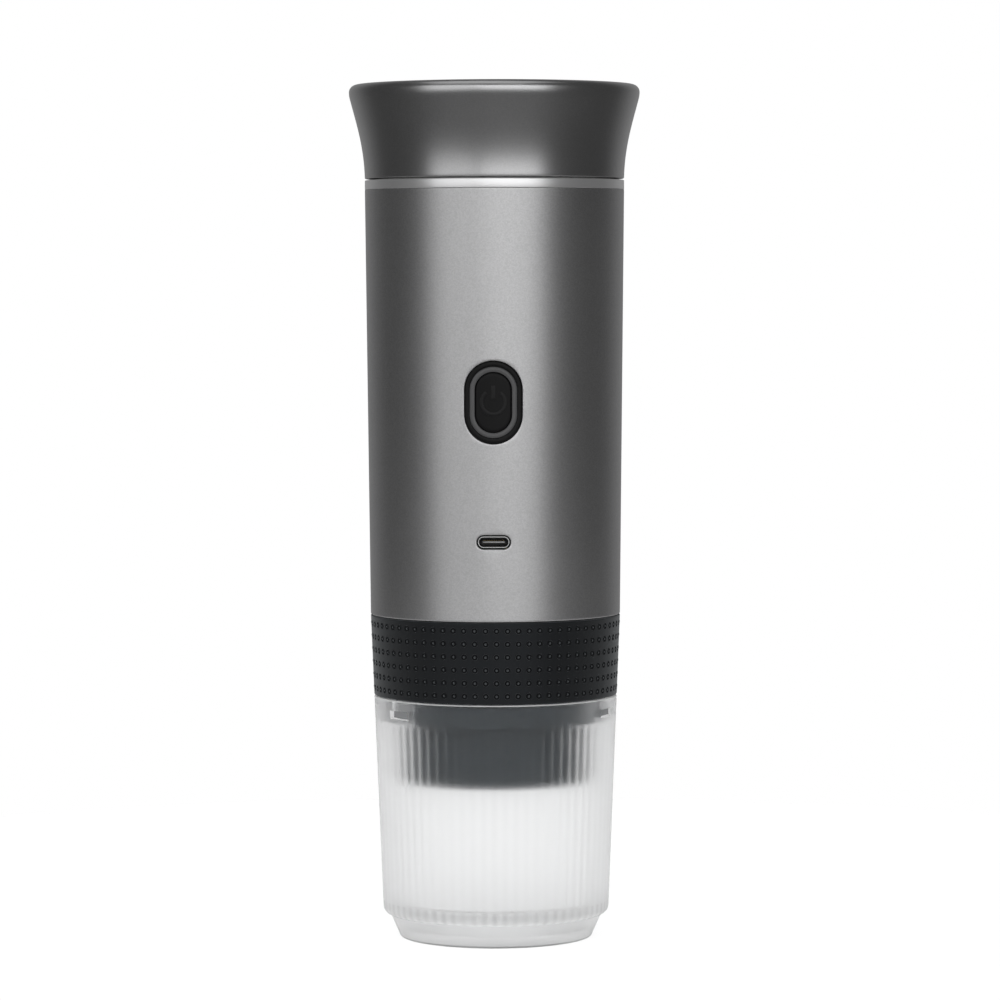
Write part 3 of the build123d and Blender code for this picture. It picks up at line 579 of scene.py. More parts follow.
def gunmetal_finish(name, shade, rough, microns, spread):
    """Satin metal paint: bead-like grain with small bright flakes."""
    recipe = new_recipe(name)
    fine, slow = recipe.noise(2400.0, 3.0), recipe.noise(30.0)
    sparkle = recipe.node("SeparateColor", None, {"Color": recipe.cells(3200.0, output=1)})
    return recipe.painted({
        "Base Color": recipe.drift(0.55 * sparkle + 0.45 * slow, shade, spread),
        "Metallic": 1.0,
        "Roughness": rough - 0.04 + 0.05 * fine + 0.03 * slow,
        "Normal": recipe.bump(fine, microns),
    })


def frosted_finish(shade, sizes):
    """Clear plastic with an etched face, darkened by painted shade at the ribs, at their lower ends and towards
    the foot's edge, with a painted highlight along the rim.
    """
    recipe = new_recipe("frosted_cup")
    fine, slow = recipe.noise(1800.0), recipe.noise(60.0)
    patchy = recipe.noise(90.0, 2.0, (1, 1, 0.01))
    rough = 0.48 + 0.06 * fine
    level = recipe.part(2)
    # painted shade: darker stripes where the ribs thicken the wall, stronger on the thick ring at their lower
    # ends
    ribs = recipe.maths("COSINE", recipe.turn() * float(sizes.rib_count))
    above = level > sizes.ledge
    ribbed = above * (1 - (level > high("cup") - sizes.rib_top))
    ends = (1 - above) * (level > sizes.foot_height + 0.1 * MM)
    # painted shade darkening the foot towards the table, and a painted contact shadow along its bottom edge
    foot = recipe.ease(level, 0.0, 4.5 * MM, 0.14, 0.0)
    edge = recipe.ease(level, 0.2 * MM, 0.9 * MM, 0.6, 0.0)
    painted_shade = ribbed * (0.025 + 0.025 * ribs) + ends * (0.1 + 0.22 * ribs * patchy) + foot + edge
    etched = {
        "Base Color": recipe.shades(painted_shade, shade, dulled(shade, 0.1)),
        "Roughness": rough,
        "IOR": 1.25,
        "Transmission Weight": 1.0,
        "Normal": recipe.bump(fine, 10),
    }
    # painted highlight: a whitish diffuse line along the rim's top edge stands in for the light it catches
    rim_highlight_sockets = {"Base Color": recipe.shades(slow, dulled(shade, 0.9), dulled(shade, 0.94)), "Roughness": rough}
    clear, painted_highlight = [recipe.node("BsdfPrincipled", None, sockets) for sockets in (etched, rim_highlight_sockets)]
    # the painted highlight covers the top 0.3 mm of the rim
    rim = level > high("cup") - 0.3 * MM
    return recipe.shown(recipe.node("MixShader", None, {0: rim * 0.65, 1: clear, 2: painted_highlight}))


def holder_finish(shade, lug, sizes):
    """Dark moulded holder with pale snap lugs standing out of its flange."""
    recipe = new_recipe("holder_grey")
    flange = 29.5 * MM
    half = 1.6 * sizes.window_width / reach("cup")
    fine = recipe.noise(1900.0, 3.0)
    near = recipe.maths("COSINE", (recipe.turn() - sizes.window_turn) * 3.0)
    pads = (recipe.out() > flange) * (near > math.cos(half))
    return recipe.painted({
        "Base Color": recipe.shades(pads, shade, lug),
        "Roughness": 0.42 + 0.08 * fine,
        "Specular IOR Level": 0.2,
        "Normal": recipe.bump(fine, 20),
    })


def rubber_finish(shade, knob):
    """Dark rubber with a fine grain, dull in the grooves, and a paler colour on the knobs that stand proud as a
    painted highlight.
    """
    recipe = new_recipe("grip_rubber")
    knob_highlight_level, groove_level = 0.03 * MM, -0.08 * MM
    fine, slow = recipe.noise(2800.0, 3.0), recipe.noise(45.0)
    proud = recipe.out() - LOWER_SLOPE * recipe.part(2)
    # painted highlight: the tips of the knobs that stand proud get the paler knob colour
    knobs = proud > lower_radius(0) + knob_highlight_level
    grooves = 1 - (proud > lower_radius(0) + groove_level)
    return recipe.painted({
        "Base Color": recipe.shades(knobs, recipe.drift(slow, shade, 0.12), knob),
        "Roughness": 0.34 + 0.08 * fine + 0.04 * slow + 0.5 * grooves,
        "Specular IOR Level": 0.25,
        "Specular Tint": (0.86, 0.93, 1.0, 1.0),
        "Sheen Weight": 0.2,
        "Sheen Tint": (0.92, 0.97, 1.0, 1.0),
        "Normal": recipe.bump(fine, 20),
    })


def board_finish():
    """Green board with copper tracks under the mask and bright pads."""
    recipe = new_recipe("board_green")
    layout = {"Vector": recipe.place(turn=UPRIGHT), "Scale": 420.0, "Mortar Size": 0.05}
    tracks = recipe.node("TexBrick", {"offset": 0.37, "squash": 0.7}, layout, output=1)
    pads = 1 - (recipe.cells(330.0, (1, 0.2, 1)) > 0.16)
    green = recipe.shades(tracks, (0.012, 0.11, 0.05), (0.022, 0.17, 0.075))
    return recipe.painted({
        "Base Color": recipe.shades(pads, green, (0.7, 0.62, 0.4)),
        "Metallic": pads * 0.9,
        "Roughness": 0.42 - 0.1 * pads,
        "Normal": recipe.bump(tracks, 30),
    })


def make_finishes(colours, sizes):
    """All finishes by name."""
    # Colour, roughness, metal, grain, its depth in microns, spread of tone, and where they differ
    # from plain ones the stretch of the grain and the shine
    grains = {
        "bright_steel": (colours.bright_metal, 0.32, 0.86, 900.0, 12, 0.05, 14),
        "tank_steel": ((0.6, 0.6, 0.59), 0.32, 1.0, 500.0, 10, 0.06, 16),
        "motor_steel": ((0.5, 0.5, 0.49), 0.36, 1.0, 700.0, 10, 0.08, 6),
        "port_steel": ((0.42, 0.42, 0.42), 0.27, 1.0, 3000.0, 5, 0.05),
        "heater_aluminium": ((0.74, 0.74, 0.75), 0.42, 1.0, 1500.0, 20, 0.05),
        "brass": ((0.72, 0.5, 0.2), 0.3, 1.0, 1200.0, 10, 0.08),
        "contact_gold": ((0.83, 0.62, 0.26), 0.28, 1.0, 4000.0, 3, 0.05),
        "cell_wrap": ((0.03, 0.1, 0.2), 0.38, 0.0, 300.0, 30, 0.12, 0.3),
        "gloss_black": (colours.black, 0.36, 0.0, 3500.0, 8, 0.1, 1, 0.15),
        "symbol_black": ((0.0045, 0.0045, 0.0048), 0.4, 0.0, 3500.0, 8, 0.1, 1, 0.22),
        "black_plastic": ((0.018, 0.018, 0.019), 0.5, 0.0, 2200.0, 30, 0.12),
        "pale_plastic": ((0.6, 0.59, 0.56), 0.48, 0.0, 1800.0, 20, 0.05),
        "light_grey": (colours.light_grey, 0.42, 0.0, 2500.0, 10, 0.06),
        "silicone": ((0.5, 0.5, 0.49), 0.55, 0.0, 900.0, 20, 0.05),
    }
    return {
        **{name: grained(name, *values) for name, values in grains.items()},
        "gunmetal": gunmetal_finish("gunmetal_satin", colours.gunmetal, 0.4, 12, 0.14),
        # the lid is the shell's gunmetal made 5% darker as painted shade, with a smoother finish
        "lid_gunmetal": gunmetal_finish("gunmetal_smooth", dulled(colours.gunmetal, 0.95), 0.3, 4, 0.08),
        "board_green": board_finish(),
        "holder_grey": holder_finish(colours.holder, colours.lug, sizes),
        "grip_rubber": rubber_finish(colours.rubber, colours.knob),
        "frosted_plastic": frosted_finish(colours.frost, sizes),
    }


FINISHES = {}


def finish_of(name):
    if not FINISHES:
        FINISHES.update(make_finishes(bpy.context.scene.espresso_colours, bpy.context.scene.espresso_sizes))
    return FINISHES[name]


# Stage and pieces

def aimed(place, target):
    """Turn that points a lamp or the camera from its place at a target."""
    return (Vector(target) - Vector(place)).to_track_quat("-Z", "Y").to_euler()


class ESPRESSO_OT_stage(bpy.types.Operator):
    """Set the camera, the lamps, the white surroundings and the floor"""

    bl_idname = "espresso.stage"
    bl_label = "Stage"

    def execute(self, context):
        scene = context.scene
        scene.view_settings.view_transform = "Standard"
        self.surround(scene)
        self.floor()
        self.lamp("right_softbox", (0.52, -1.88, 0.52), 2.1, 1.28, 13.0)
        self.lamp("left_softbox", (-0.995, -1.383, 0.52), 1.36, 1.28, 6.1)
        self.lamp("top_softbox", (-0.1, -0.35, 1.5), 1.5, 1.2, 3.8)
        self.camera(scene)
        return {"FINISHED"}

    def lamp(self, name, place, width, height, power):
        set_down()
        bpy.ops.object.light_add(type="AREA", location=place)
        lamp = bpy.context.object
        lamp.name = name
        lamp.data.shape = "RECTANGLE"
        lamp.data.size = width
        lamp.data.size_y = height
        lamp.data.energy = power
        lamp.rotation_euler = aimed(place, (0, 0, 0.13))

    def camera(self, scene):
        set_down()
        place = (0.0156, -1.2756, 0.193)
        bpy.ops.object.camera_add(location=place)
        camera = bpy.context.object
        camera.name = "front_camera"
        camera.data.sensor_width = 36.0
        camera.data.lens = 158.75
        camera.data.clip_end = 20.0
        turn = aimed(place, (0.0014, 0.0, 0.1266))
        turn.rotate_axis("Z", math.radians(-0.125))
        camera.rotation_euler = turn
        scene.camera = camera

    def surround(self, scene):
        """White for the eye and through the cup, bright behind and dark beside for the metal."""
        world = bpy.data.worlds.new("white_surround")
        scene.world = world
        recipe = Recipe(world)
        seen, mirrored, through = recipe.light_paths()
        toward = recipe.node("TexCoord", output=0)
        depth = recipe.node("SeparateXYZ", None, {"Vector": toward}, output=1)
        behind = recipe.ease(depth, 0.35, 1.0, 0.06, 0.32)
        shown = recipe.maths("MAXIMUM", seen, through)
        lit = mirrored * behind + (1 - mirrored) * 0.48
        white = {"Color": (1, 1, 1, 1), "Strength": shown + (1 - shown) * lit}
        recipe.shown(recipe.node("Background", None, white))

    def floor(self):
        """A pale disc that keeps the shadow, thin enough for the eye to see a lowered cup through it."""
        set_down()
        bpy.ops.mesh.primitive_circle_add(vertices=96, radius=0.33, fill_type="NGON")
        floor = bpy.context.object
        floor.name = "floor"
        open_up()
        bpy.ops.mesh.inset(thickness=0.1)
        bpy.ops.object.mode_set(mode="OBJECT")
        recipe = new_recipe("pale_floor")
        seen, _, through = recipe.light_paths()
        shown = recipe.maths("MAXIMUM", seen, through * 0.8)
        paint = recipe.node("BsdfDiffuse", None, {"Color": (0.85, 0.85, 0.85, 1)})
        clear = recipe.node("BsdfTransparent")
        film = recipe.node("MixShader", None, {0: shown * 0.8, 1: paint, 2: clear})
        glow = recipe.node("Emission", None, {"Color": (1, 1, 1, 1), "Strength": shown * 0.11})
        floor.data.materials.append(recipe.shown(recipe.node("AddShader", None, {0: film, 1: glow})))


class ESPRESSO_OT_lid(bpy.types.Operator):
    """Turn the flared lid, with its rounded rim and hollow underside"""

    bl_idname = "espresso.lid"
    bl_label = "Lid"

    STEPS = 28
    FLARE = (0.123, 1.033, 0.424, -0.531)  # shares of the height, its square, cube and fourth power
    UPRIGHT_FROM = 0.93  # share of the height above which the side comes upright
    UPRIGHT_BEND = 10

    def execute(self, context):
        sizes = context.scene.espresso_sizes
        foot, top = low("lid_shell"), high("lid_shell")
        neck, flare = reach("trim_ring"), reach("lid_shell")
        rim, edge, wall = sizes.lid_rim, sizes.edge, sizes.lid_wall
        widest = top - rim
        side = []
        for step in range(1, self.STEPS + 1):
            rise = step / self.STEPS
            lean = sum(share * rise**power for power, share in enumerate(self.FLARE, 1))
            if rise > self.UPRIGHT_FROM:
                lean = 1 - self.UPRIGHT_BEND * (1 - rise) ** 2
            side.append((neck + (flare - neck) * lean, foot + (widest - foot) * rise))
        outline = [
            (neck - wall, foot),
            (neck - edge, foot),
            *[(neck - edge + edge * sine, foot + edge - edge * cosine) for sine, cosine in quarter(4)],
            *side,
            *[(flare - rim + rim * cosine, widest + rim * sine) for sine, cosine in quarter(10)],
            *[(flare - inward * MM, top) for inward in (6, 14, 26)],
            (0, top),
            (0, top - wall),
            (flare - 2 * wall, top - wall),
        ]
        lid = turned("lid_shell_turned", outline, 192)
        done(lid, "lid", "gunmetal", ["lid_shell"], 40, "lid_gunmetal")
        return {"FINISHED"}


class ESPRESSO_OT_trim_ring(bpy.types.Operator):
    """Turn the bright ring between the shell and the lid"""

    bl_idname = "espresso.trim_ring"
    bl_label = "Trim ring"

    def execute(self, context):
        sizes = context.scene.espresso_sizes
        foot, top, outer = low("trim_ring"), high("trim_ring"), reach("trim_ring")
        inner, edge = outer - sizes.ring_width, sizes.edge
        corners = [(inner, foot), (outer, foot, edge / 3), (outer, top, edge), (inner, top, edge)]
        ring = turned("trim_ring_turned", rounded(corners, 4), 192)
        done(ring, "machine", "bright_steel", ["trim_ring"])
        return {"FINISHED"}


class ESPRESSO_OT_shell(bpy.types.Operator):
    """Turn the outer shell, open it for the button and the port, and give it its wall"""

    bl_idname = "espresso.shell"
    bl_label = "Outer shell"

    COLUMNS = 240
    EDGE_ROW, END_ROW = 0.6 * MM, 6 * MM  # rows of points near the shell's ends

    def execute(self, context):
        sizes = context.scene.espresso_sizes
        foot, top = low("outer_shell"), high("outer_shell")
        button, port = middle("power_button"), middle("usb_shell")
        button_rows = [button + row * 1.5 * MM for row in range(-10, 11)]
        port_rows = [port + row * 1.25 * MM for row in range(-4, 5)]
        between = [(port_rows[-1] + button_rows[0]) / 2, button_rows[-1] + 20 * MM]
        ends = [foot, foot + self.EDGE_ROW, foot + self.END_ROW, top - self.END_ROW, top - self.EDGE_ROW, top]
        levels = sorted(ends + between + button_rows + port_rows)
        shell = turned("outer_shell_turned", [(shell_radius(z), z) for z in levels], self.COLUMNS, closed=False)
        fit = 0.2 * MM
        self.opening(button, 10, button_rows, sizes.bezel_width + fit, sizes.bezel_height + fit, True)
        near, far = BOXES["usb_shell"]
        gaps = 2 * sizes.port_gap
        self.opening(port, 8, port_rows, far.x - near.x + gaps, far.z - near.z + gaps, False)
        tidy_mesh()
        apply_modifier(shell, "SOLIDIFY", thickness=sizes.shell_wall, offset=-1.0, use_even_offset=True)
        soften(shell, 0.8 * sizes.edge, 3)
        done(shell, "machine", "gunmetal", ["outer_shell"], 40)
        return {"FINISHED"}

    def opening(self, level, side_columns, rows, width, height, upright):
        """Cut a patch out of the front and fill it back to an obround edge."""
        half = side_columns * TURN / self.COLUMNS
        turn_slack = 0.001
        half_width = shell_radius(level) * math.sin(half) + SLACK

        def turn(spot):
            return abs(math.atan2(spot.x, -spot.y))

        def in_rows(spot):
            return rows[0] - SLACK < spot.z < rows[-1] + SLACK

        def in_patch(face):
            spot = face.calc_center_median()
            return turn(spot) < half and in_rows(spot)

        def on_edges(edge):
            around = all(turn(v.co) < half + turn_slack and in_rows(v.co) for v in edge.verts)
            return edge.is_wire or edge.is_boundary and around

        def near_front(vertex):
            spot = vertex.co
            return spot.y < 0 and abs(spot.x) < half_width and in_rows(spot)

        pick(in_patch, "FACE")
        bpy.ops.mesh.delete(type="FACE")
        bpy.ops.mesh.select_mode(type="VERT")
        add_obround(width, height, level, 2 * (2 * side_columns + len(rows) - 1), upright)
        settle(on_front(0.0))
        pick(on_edges, "EDGE")
        bpy.ops.mesh.bridge_edge_loops(number_cuts=4, interpolation="LINEAR")
        pick(near_front)
        settle(on_front(0.0))


class ESPRESSO_OT_button(bpy.types.Operator):
    """Model the button, its light ring, its surround and the raised power symbol"""

    bl_idname = "espresso.button"
    bl_label = "Power button"

    POINTS = 64

    def execute(self, context):
        sizes = context.scene.espresso_sizes
        level, out = middle("power_button"), sizes.bezel_proud
        self.surround(sizes, level, out)
        self.light(sizes, level, out - 0.1 * MM)
        self.cap(sizes, level, out)
        self.symbol(sizes, level, out)
        return {"FINISHED"}

    def surround(self, sizes, level, out):
        whole = (sizes.bezel_width, sizes.bezel_height)
        light = (sizes.light_width, sizes.light_height)
        hole = (2 * sizes.stem + 0.8 * MM,) * 2
        floor, back = at_depth(back_of("light_ring")), at_depth(back_of("button_bezel"))
        wall = shell_radius(level - whole[1] / 2) - sizes.shell_wall
        corner = whole[0] / 2 + sizes.bezel_lip
        behind_wall = at_depth(0.1 * MM - math.sqrt(wall**2 - corner**2))
        lip = 2 * sizes.bezel_lip
        loops = [
            (hole, 0, floor),
            (light, 0, floor),
            (light, 0, on_front(out - 0.3 * MM)),
            (light, 0.2 * MM, on_front(out - 0.06 * MM)),
            (light, 0.6 * MM, on_front(out)),
            *soft_edge(whole, 0.4 * MM, out),
            (whole, 0, behind_wall),
            (whole, lip, behind_wall),
            (whole, lip, back),
            (hole, 0, back),
        ]
        piece = stacked("button_surround", loops, level, self.POINTS, ring=True)
        done(piece, "machine", "gloss_black", ["button_bezel"], 50)

    def light(self, sizes, level, out):
        size, rim = (sizes.light_width, sizes.light_height), sizes.light_rim
        back, front, sunk = at_depth(back_of("light_ring")), on_front(out), on_front(out - 0.15 * MM)
        fit, edge = 0.04 * MM, 0.3 * MM
        loops = [
            (size, -fit, back),
            (size, -fit, sunk),
            (size, -edge, front),
            (size, -rim, on_front(out + 0.05 * MM)),
            (size, edge - 2 * rim, front),
            (size, -2 * rim, sunk),
            (size, -2 * rim, back),
        ]
        piece = stacked("light_ring_moulded", loops, level, self.POINTS, ring=True)
        done(piece, "machine", "light_grey", ["light_ring"], 50)

    def cap(self, sizes, level, out):
        around = 2 * (sizes.light_rim + sizes.button_gap)
        size = (sizes.light_width - around, sizes.light_height - around)
        stem = (2 * sizes.stem,) * 2
        back = at_depth(sizes.button_depth - shell_radius(level) - out)
        edge = 0.5 * MM
        rings = (0.4 * MM - size[0], -7 * MM, -4.5 * MM, -2.5 * MM, -2.4 * edge)
        loops = [
            *[(size, growth, on_front(out)) for growth in rings],
            *soft_edge(size, edge, out, 1),
            (size, 0, back),
            (stem, 0, back),
            (stem, 0, at_depth(back_of("power_button"))),
        ]
        piece = stacked("power_button_cap", loops, level, self.POINTS)
        done(piece, "button", "gloss_black", ["power_button"], 50)

    def symbol(self, sizes, level, out):
        """A broken ring with an upright bar, raised from the cap."""
        half = sizes.symbol_line / 2
        radius = sizes.symbol_radius - half
        centre, bar = (0, 0, level), (0, 0, level + 2.7 * MM)
        bar_width, bar_stretch = 1.3 * MM, 3.2
        gap = 0.55 * radius
        sunk = 0.05 * MM
        piece = new_piece("power_symbol")
        bpy.ops.mesh.primitive_circle_add(vertices=72, radius=radius, location=centre, rotation=UPRIGHT)
        pick(lambda vertex: vertex.co.z > level and abs(vertex.co.x) < gap)
        bpy.ops.mesh.delete(type="VERT")
        everything()
        draw_out()
        scale_flat((radius + half) / radius, centre)
        pick(lambda vertex: abs(math.hypot(vertex.co.x, vertex.co.z - level) - radius) < SEAM)
        scale_flat((radius - half) / radius, centre)
        bpy.ops.mesh.select_all(action="DESELECT")
        bpy.ops.mesh.primitive_plane_add(size=bar_width, location=bar, rotation=UPRIGHT)
        bpy.ops.transform.resize(value=(1, 1, bar_stretch), center_override=bar)
        bpy.ops.mesh.subdivide(number_cuts=4)
        everything()
        settle(on_front(out - sunk))
        tidy_mesh()
        form = bmesh.from_edit_mesh(piece.data)
        if sum(face.normal.y for face in form.faces) > 0:
            bpy.ops.mesh.flip_normals()
        apply_modifier(piece, "SOLIDIFY", thickness=sizes.symbol_rise + sunk, offset=1.0)
        soften(piece, 0.5 * sizes.symbol_rise, 2)
        done(piece, "button", "gloss_black", (), 50, "symbol_black")


class ESPRESSO_OT_port(bpy.types.Operator):
    """Roll the port's steel tube and set the contacts and the mid plate on its tongue"""

    bl_idname = "espresso.port"
    bl_label = "Charging port"

    CONTACTS = 12
    CONTACT = (0.26 * MM, 4.2 * MM, 0.06 * MM)
    PLATE = (6.1 * MM, 0.6 * MM, 0.28 * MM)
    TONGUE_HALF = 0.35 * MM
    CONTACT_LIFT = 0.02 * MM

    def execute(self, context):
        sizes = context.scene.espresso_sizes
        near, far = BOXES["usb_shell"]
        level, size = middle("usb_shell"), (far.x - near.x, far.z - near.z)
        wall, lip = sizes.port_wall, sizes.port_wall / 3
        back, sunk, rolled = at_depth(far.y), at_depth(near.y + lip), at_depth(near.y + 0.3 * lip)
        loops = [
            (size, 0, back),
            (size, 0, sunk),
            (size, -0.6 * lip, rolled),
            (size, -wall, at_depth(near.y)),
            (size, 0.6 * lip - 2 * wall, rolled),
            (size, -2 * wall, sunk),
            (size, -2 * wall, back),
        ]
        tube = stacked("port_tube", loops, level, 48, upright=False, ring=True)
        done(tube, "machine", "port_steel", ["usb_shell"], 50)
        self.tongue_metal(sizes, level, front_of("usb_tongue"))
        return {"FINISHED"}

    def tongue_metal(self, sizes, level, tip):
        """Twelve gold strips above and below the tongue, and the steel plate's edge at its front."""
        pitch, lift = sizes.contact_pitch, self.TONGUE_HALF + self.CONTACT_LIFT
        first = ((1 - self.CONTACTS) / 2 * pitch, tip + 2.7 * MM, level + lift)
        strips = self.block("port_contacts", self.CONTACT, 0.02 * MM, 1, first)
        copy_on((pitch, 0, 0), self.CONTACTS - 1)
        copy_on((0, 0, -2 * lift))
        bpy.ops.mesh.normals_make_consistent(inside=False)
        done(strips, "machine", "brass", (), 30, "contact_gold")
        plate = self.block("port_mid_plate", self.PLATE, 0.06 * MM, 3, (0, tip + 0.2 * MM, level))
        done(plate, "machine", "port_steel", (), 40)

    def block(self, name, size, edge, segments, place):
        """A small block with bevelled edges, moved to its place."""
        piece = new_piece(name)
        bpy.ops.mesh.primitive_cube_add(size=1.0, location=CENTRE)
        bpy.ops.transform.resize(value=size, center_override=CENTRE)
        bpy.ops.mesh.bevel(offset=edge, segments=segments, affect="EDGES")
        everything()
        bpy.ops.transform.translate(value=place)
        return piece


class ESPRESSO_OT_grip_band(bpy.types.Operator):
    """Model one strip of dimples and copy it round the grip band"""

    bl_idname = "espresso.grip_band"
    bl_label = "Grip band"

    POINTS = 12
    HOLD = 1.12  # flat ring that keeps the field round a dimple smooth, in dimple radii
    RINGS = ((1.0, 0.0), (0.88, 0.9), (0.44, 1.0), (0.26, -0.2))  # shares of the radius and the depth

    def execute(self, context):
        sizes = context.scene.espresso_sizes
        foot, top, centre = low("grip_band"), high("grip_band"), middle("grip_band")
        pitch, radius = sizes.dimple_pitch, lower_radius(centre)
        band = new_piece("grip_band_dimpled")
        self.dimple(sizes, TURN / sizes.dimple_columns * radius)
        everything()
        bpy.ops.transform.translate(value=(0, 0, centre - pitch * (sizes.dimple_rows - 1) / 2))
        copy_on((0, 0, pitch), sizes.dimple_rows - 1)
        merge(5 * MICRON)

        def wrapped(point):
            turn = point.x / radius + sizes.dimple_turn
            out = lower_radius(point.z) - point.y
            return Vector((out * math.sin(turn), -out * math.cos(turn), point.z))

        settle(wrapped)
        spin(sizes.dimple_columns, copies=True)
        merge(20 * MICRON)
        half = pitch * sizes.dimple_rows / 2
        self.lip(sizes, centre + half, top)
        self.lip(sizes, centre - half, foot)
        inside = lower_radius(top) - sizes.band_wall + 0.2 * MM

        def on_inner_edge(edge):
            spot = (edge.verts[0].co + edge.verts[1].co) / 2
            return edge.is_boundary and math.hypot(spot.x, spot.y) < inside

        pick(on_inner_edge, "EDGE")
        bpy.ops.mesh.bridge_edge_loops()
        tidy_mesh()
        done(band, "holder", "grip_rubber", ["grip_band"], 60)
        return {"FINISHED"}

    def dimple(self, sizes, width):
        """One cell of the strip, laid flat: a round knob in a groove, in a four-sided field."""
        rim = self.HOLD * sizes.dimple_radius
        add_obround(2 * rim, 2 * rim, 0, self.POINTS)
        draw_out()

        def squared(point):
            share = max(abs(point.x), abs(point.z))
            return Vector((point.x / share * width / 2, 0, point.z / share * sizes.dimple_pitch / 2))

        settle(squared)
        for share, depth in self.RINGS:
            pick(lambda vertex: abs(math.hypot(vertex.co.x, vertex.co.z) - rim) < MICRON)
            draw_out()
            scale_flat(sizes.dimple_radius * share / rim)
            settle(at_depth(sizes.dimple_depth * depth))
            rim = sizes.dimple_radius * share
        bpy.ops.mesh.edge_face_add()

    def lip(self, sizes, end, edge):
        """Round the strip's end over to the band's inner wall."""
        pick(lambda item: item.is_boundary and all(abs(v.co.z - end) < SLACK for v in item.verts), "EDGE")
        rise = math.copysign(sizes.edge, edge - end)
        path = [
            (0, edge - rise),
            *[(sizes.edge * (1 - cosine), edge - rise * (1 - sine)) for sine, cosine in quarter(3)],
            (sizes.band_wall, edge),
        ]
        for inward, level in path:
            draw_out()
            settle(lambda point: at_radius(point, lower_radius(level) - inward, level))


class ESPRESSO_OT_cup(bpy.types.Operator):
    """Turn the stepped cup, raise its inner ribs and open its snap windows"""

    bl_idname = "espresso.cup"
    bl_label = "Cup"

    COLUMNS_PER_RIB = 10
    WINDOWS = 3
    END_RIBS = 3  # how much taller the ribs are on the thick ring
    SKIN = 1.2 * MM  # wall left outside a snap groove

    def execute(self, context):
        sizes = context.scene.espresso_sizes
        top, wall, step, ledge = high("cup"), sizes.cup_wall, sizes.foot_height, sizes.ledge
        ring, foot_wall = wall + sizes.ledge_width, wall + 1.0 * MM
        inner_step, rib_top = step + wall, top - sizes.rib_top
        shoulder = lower_radius(step)
        foot_top = shoulder - sizes.foot_step
        foot = foot_top - sizes.foot_flare
        window = [top - sizes.window_drop + side * sizes.window_height / 2 for side in (-1, 1)]
        rib_rows = [rib_top + 0.7 * MM, rib_top, rib_top - 0.6 * MM, 45 * MM, 28 * MM]
        corners = [
            (0, sizes.foot_recess),
            (foot - sizes.foot_rim, sizes.foot_recess, 0.2 * MM),
            (foot - sizes.foot_rim, 0, 0.2 * MM),
            (foot, 0, 0.9 * MM),
            (foot_top, step),
            (shoulder, step, 2.2 * MM),
            *[(lower_radius(z), z) for z in window],
            (lower_radius(top), top, 0.5 * MM),
            (lower_radius(top) - wall, top, 0.5 * MM),
            *[(lower_radius(z) - wall, z) for z in window[::-1] + rib_rows],
            (lower_radius(ledge) - wall, ledge, 0.4 * MM),
            (lower_radius(ledge) - ring, ledge, 0.3 * MM),
            (lower_radius(inner_step) - ring, inner_step, 0.9 * MM),
            (foot_top - foot_wall, inner_step, 0.4 * MM),
            (foot - foot_wall, sizes.cup_floor, 2.0 * MM),
            (0, sizes.cup_floor),
        ]
        columns = self.COLUMNS_PER_RIB * sizes.rib_count
        cup = turned("cup_moulded", rounded(corners, 5), columns)
        self.ribs(sizes, inner_step + 0.1 * MM, rib_top + SLACK)
        self.windows(sizes, window, TURN / columns)
        tidy_mesh()
        done(cup, "cup", "frosted_plastic", ["cup"], 40)
        return {"FINISHED"}

    def ribs(self, sizes, bottom, top):
        def inside(vertex):
            spot = vertex.co
            sunk = lower_radius(spot.z) - sizes.cup_wall + SLACK - math.hypot(spot.x, spot.y)
            return bottom < spot.z < top and sunk > (0 if spot.z > sizes.ledge else sizes.ledge_width)

        def ribbed(point):
            radius = math.hypot(point.x, point.y)
            crest = 0.5 + 0.5 * math.cos(math.atan2(point.y, point.x) * sizes.rib_count)
            rise = sizes.rib_height * (1 if point.z > sizes.ledge else self.END_RIBS)
            size = (radius - rise * crest) / radius
            return Vector((point.x * size, point.y * size, point.z))

        pick(inside)
        settle(ribbed)

    def windows(self, sizes, levels, step):
        half = round(sizes.window_width / 2 / reach("cup") / step) * step
        face = reach("cup") - self.SKIN
        for number in range(self.WINDOWS):
            centre = round((sizes.window_turn + number * TURN / self.WINDOWS) / step) * step

            def off(spot):
                turn = math.atan2(spot.y, spot.x) - centre
                return abs((turn + math.pi) % TURN - math.pi)

            def hole(item):
                spot = item.calc_center_median()
                return off(spot) < half and levels[0] < spot.z < levels[1]

            def around(edge):
                return edge.is_boundary and all(off(v.co) < half + step / 4 for v in edge.verts)

            def groove(vertex):
                spot = vertex.co
                within = off(spot) < half - step / 2 and spot.z > levels[1] - SLACK
                return within and math.hypot(spot.x, spot.y) < face

            pick(hole, "FACE")
            bpy.ops.mesh.delete(type="FACE")
            pick(around, "EDGE")
            bpy.ops.mesh.bridge_edge_loops()
            pick(groove)
            settle(lambda point: at_radius(point, face, point.z))


class ESPRESSO_OT_drip_skirt(bpy.types.Operator):
    """Turn the skirt that hangs round the spout under the holder's drum"""

    bl_idname = "espresso.drip_skirt"
    bl_label = "Drip skirt"

    def execute(self, context):
        sizes = context.scene.espresso_sizes
        floor, edge = low("brew_holder") + sizes.spout_length, sizes.edge
        top, foot = floor + sizes.skirt_overlap, floor - sizes.skirt_depth
        outer = sizes.skirt_radius
        inner = outer - sizes.skirt_wall
        corners = [(inner, foot, edge), (outer, foot, 3 * edge), (outer, top, edge / 3), (inner, top)]
        skirt = turned("drip_skirt", rounded(corners, 5), 128)
        done(skirt, "holder", "holder_grey")
        return {"FINISHED"}


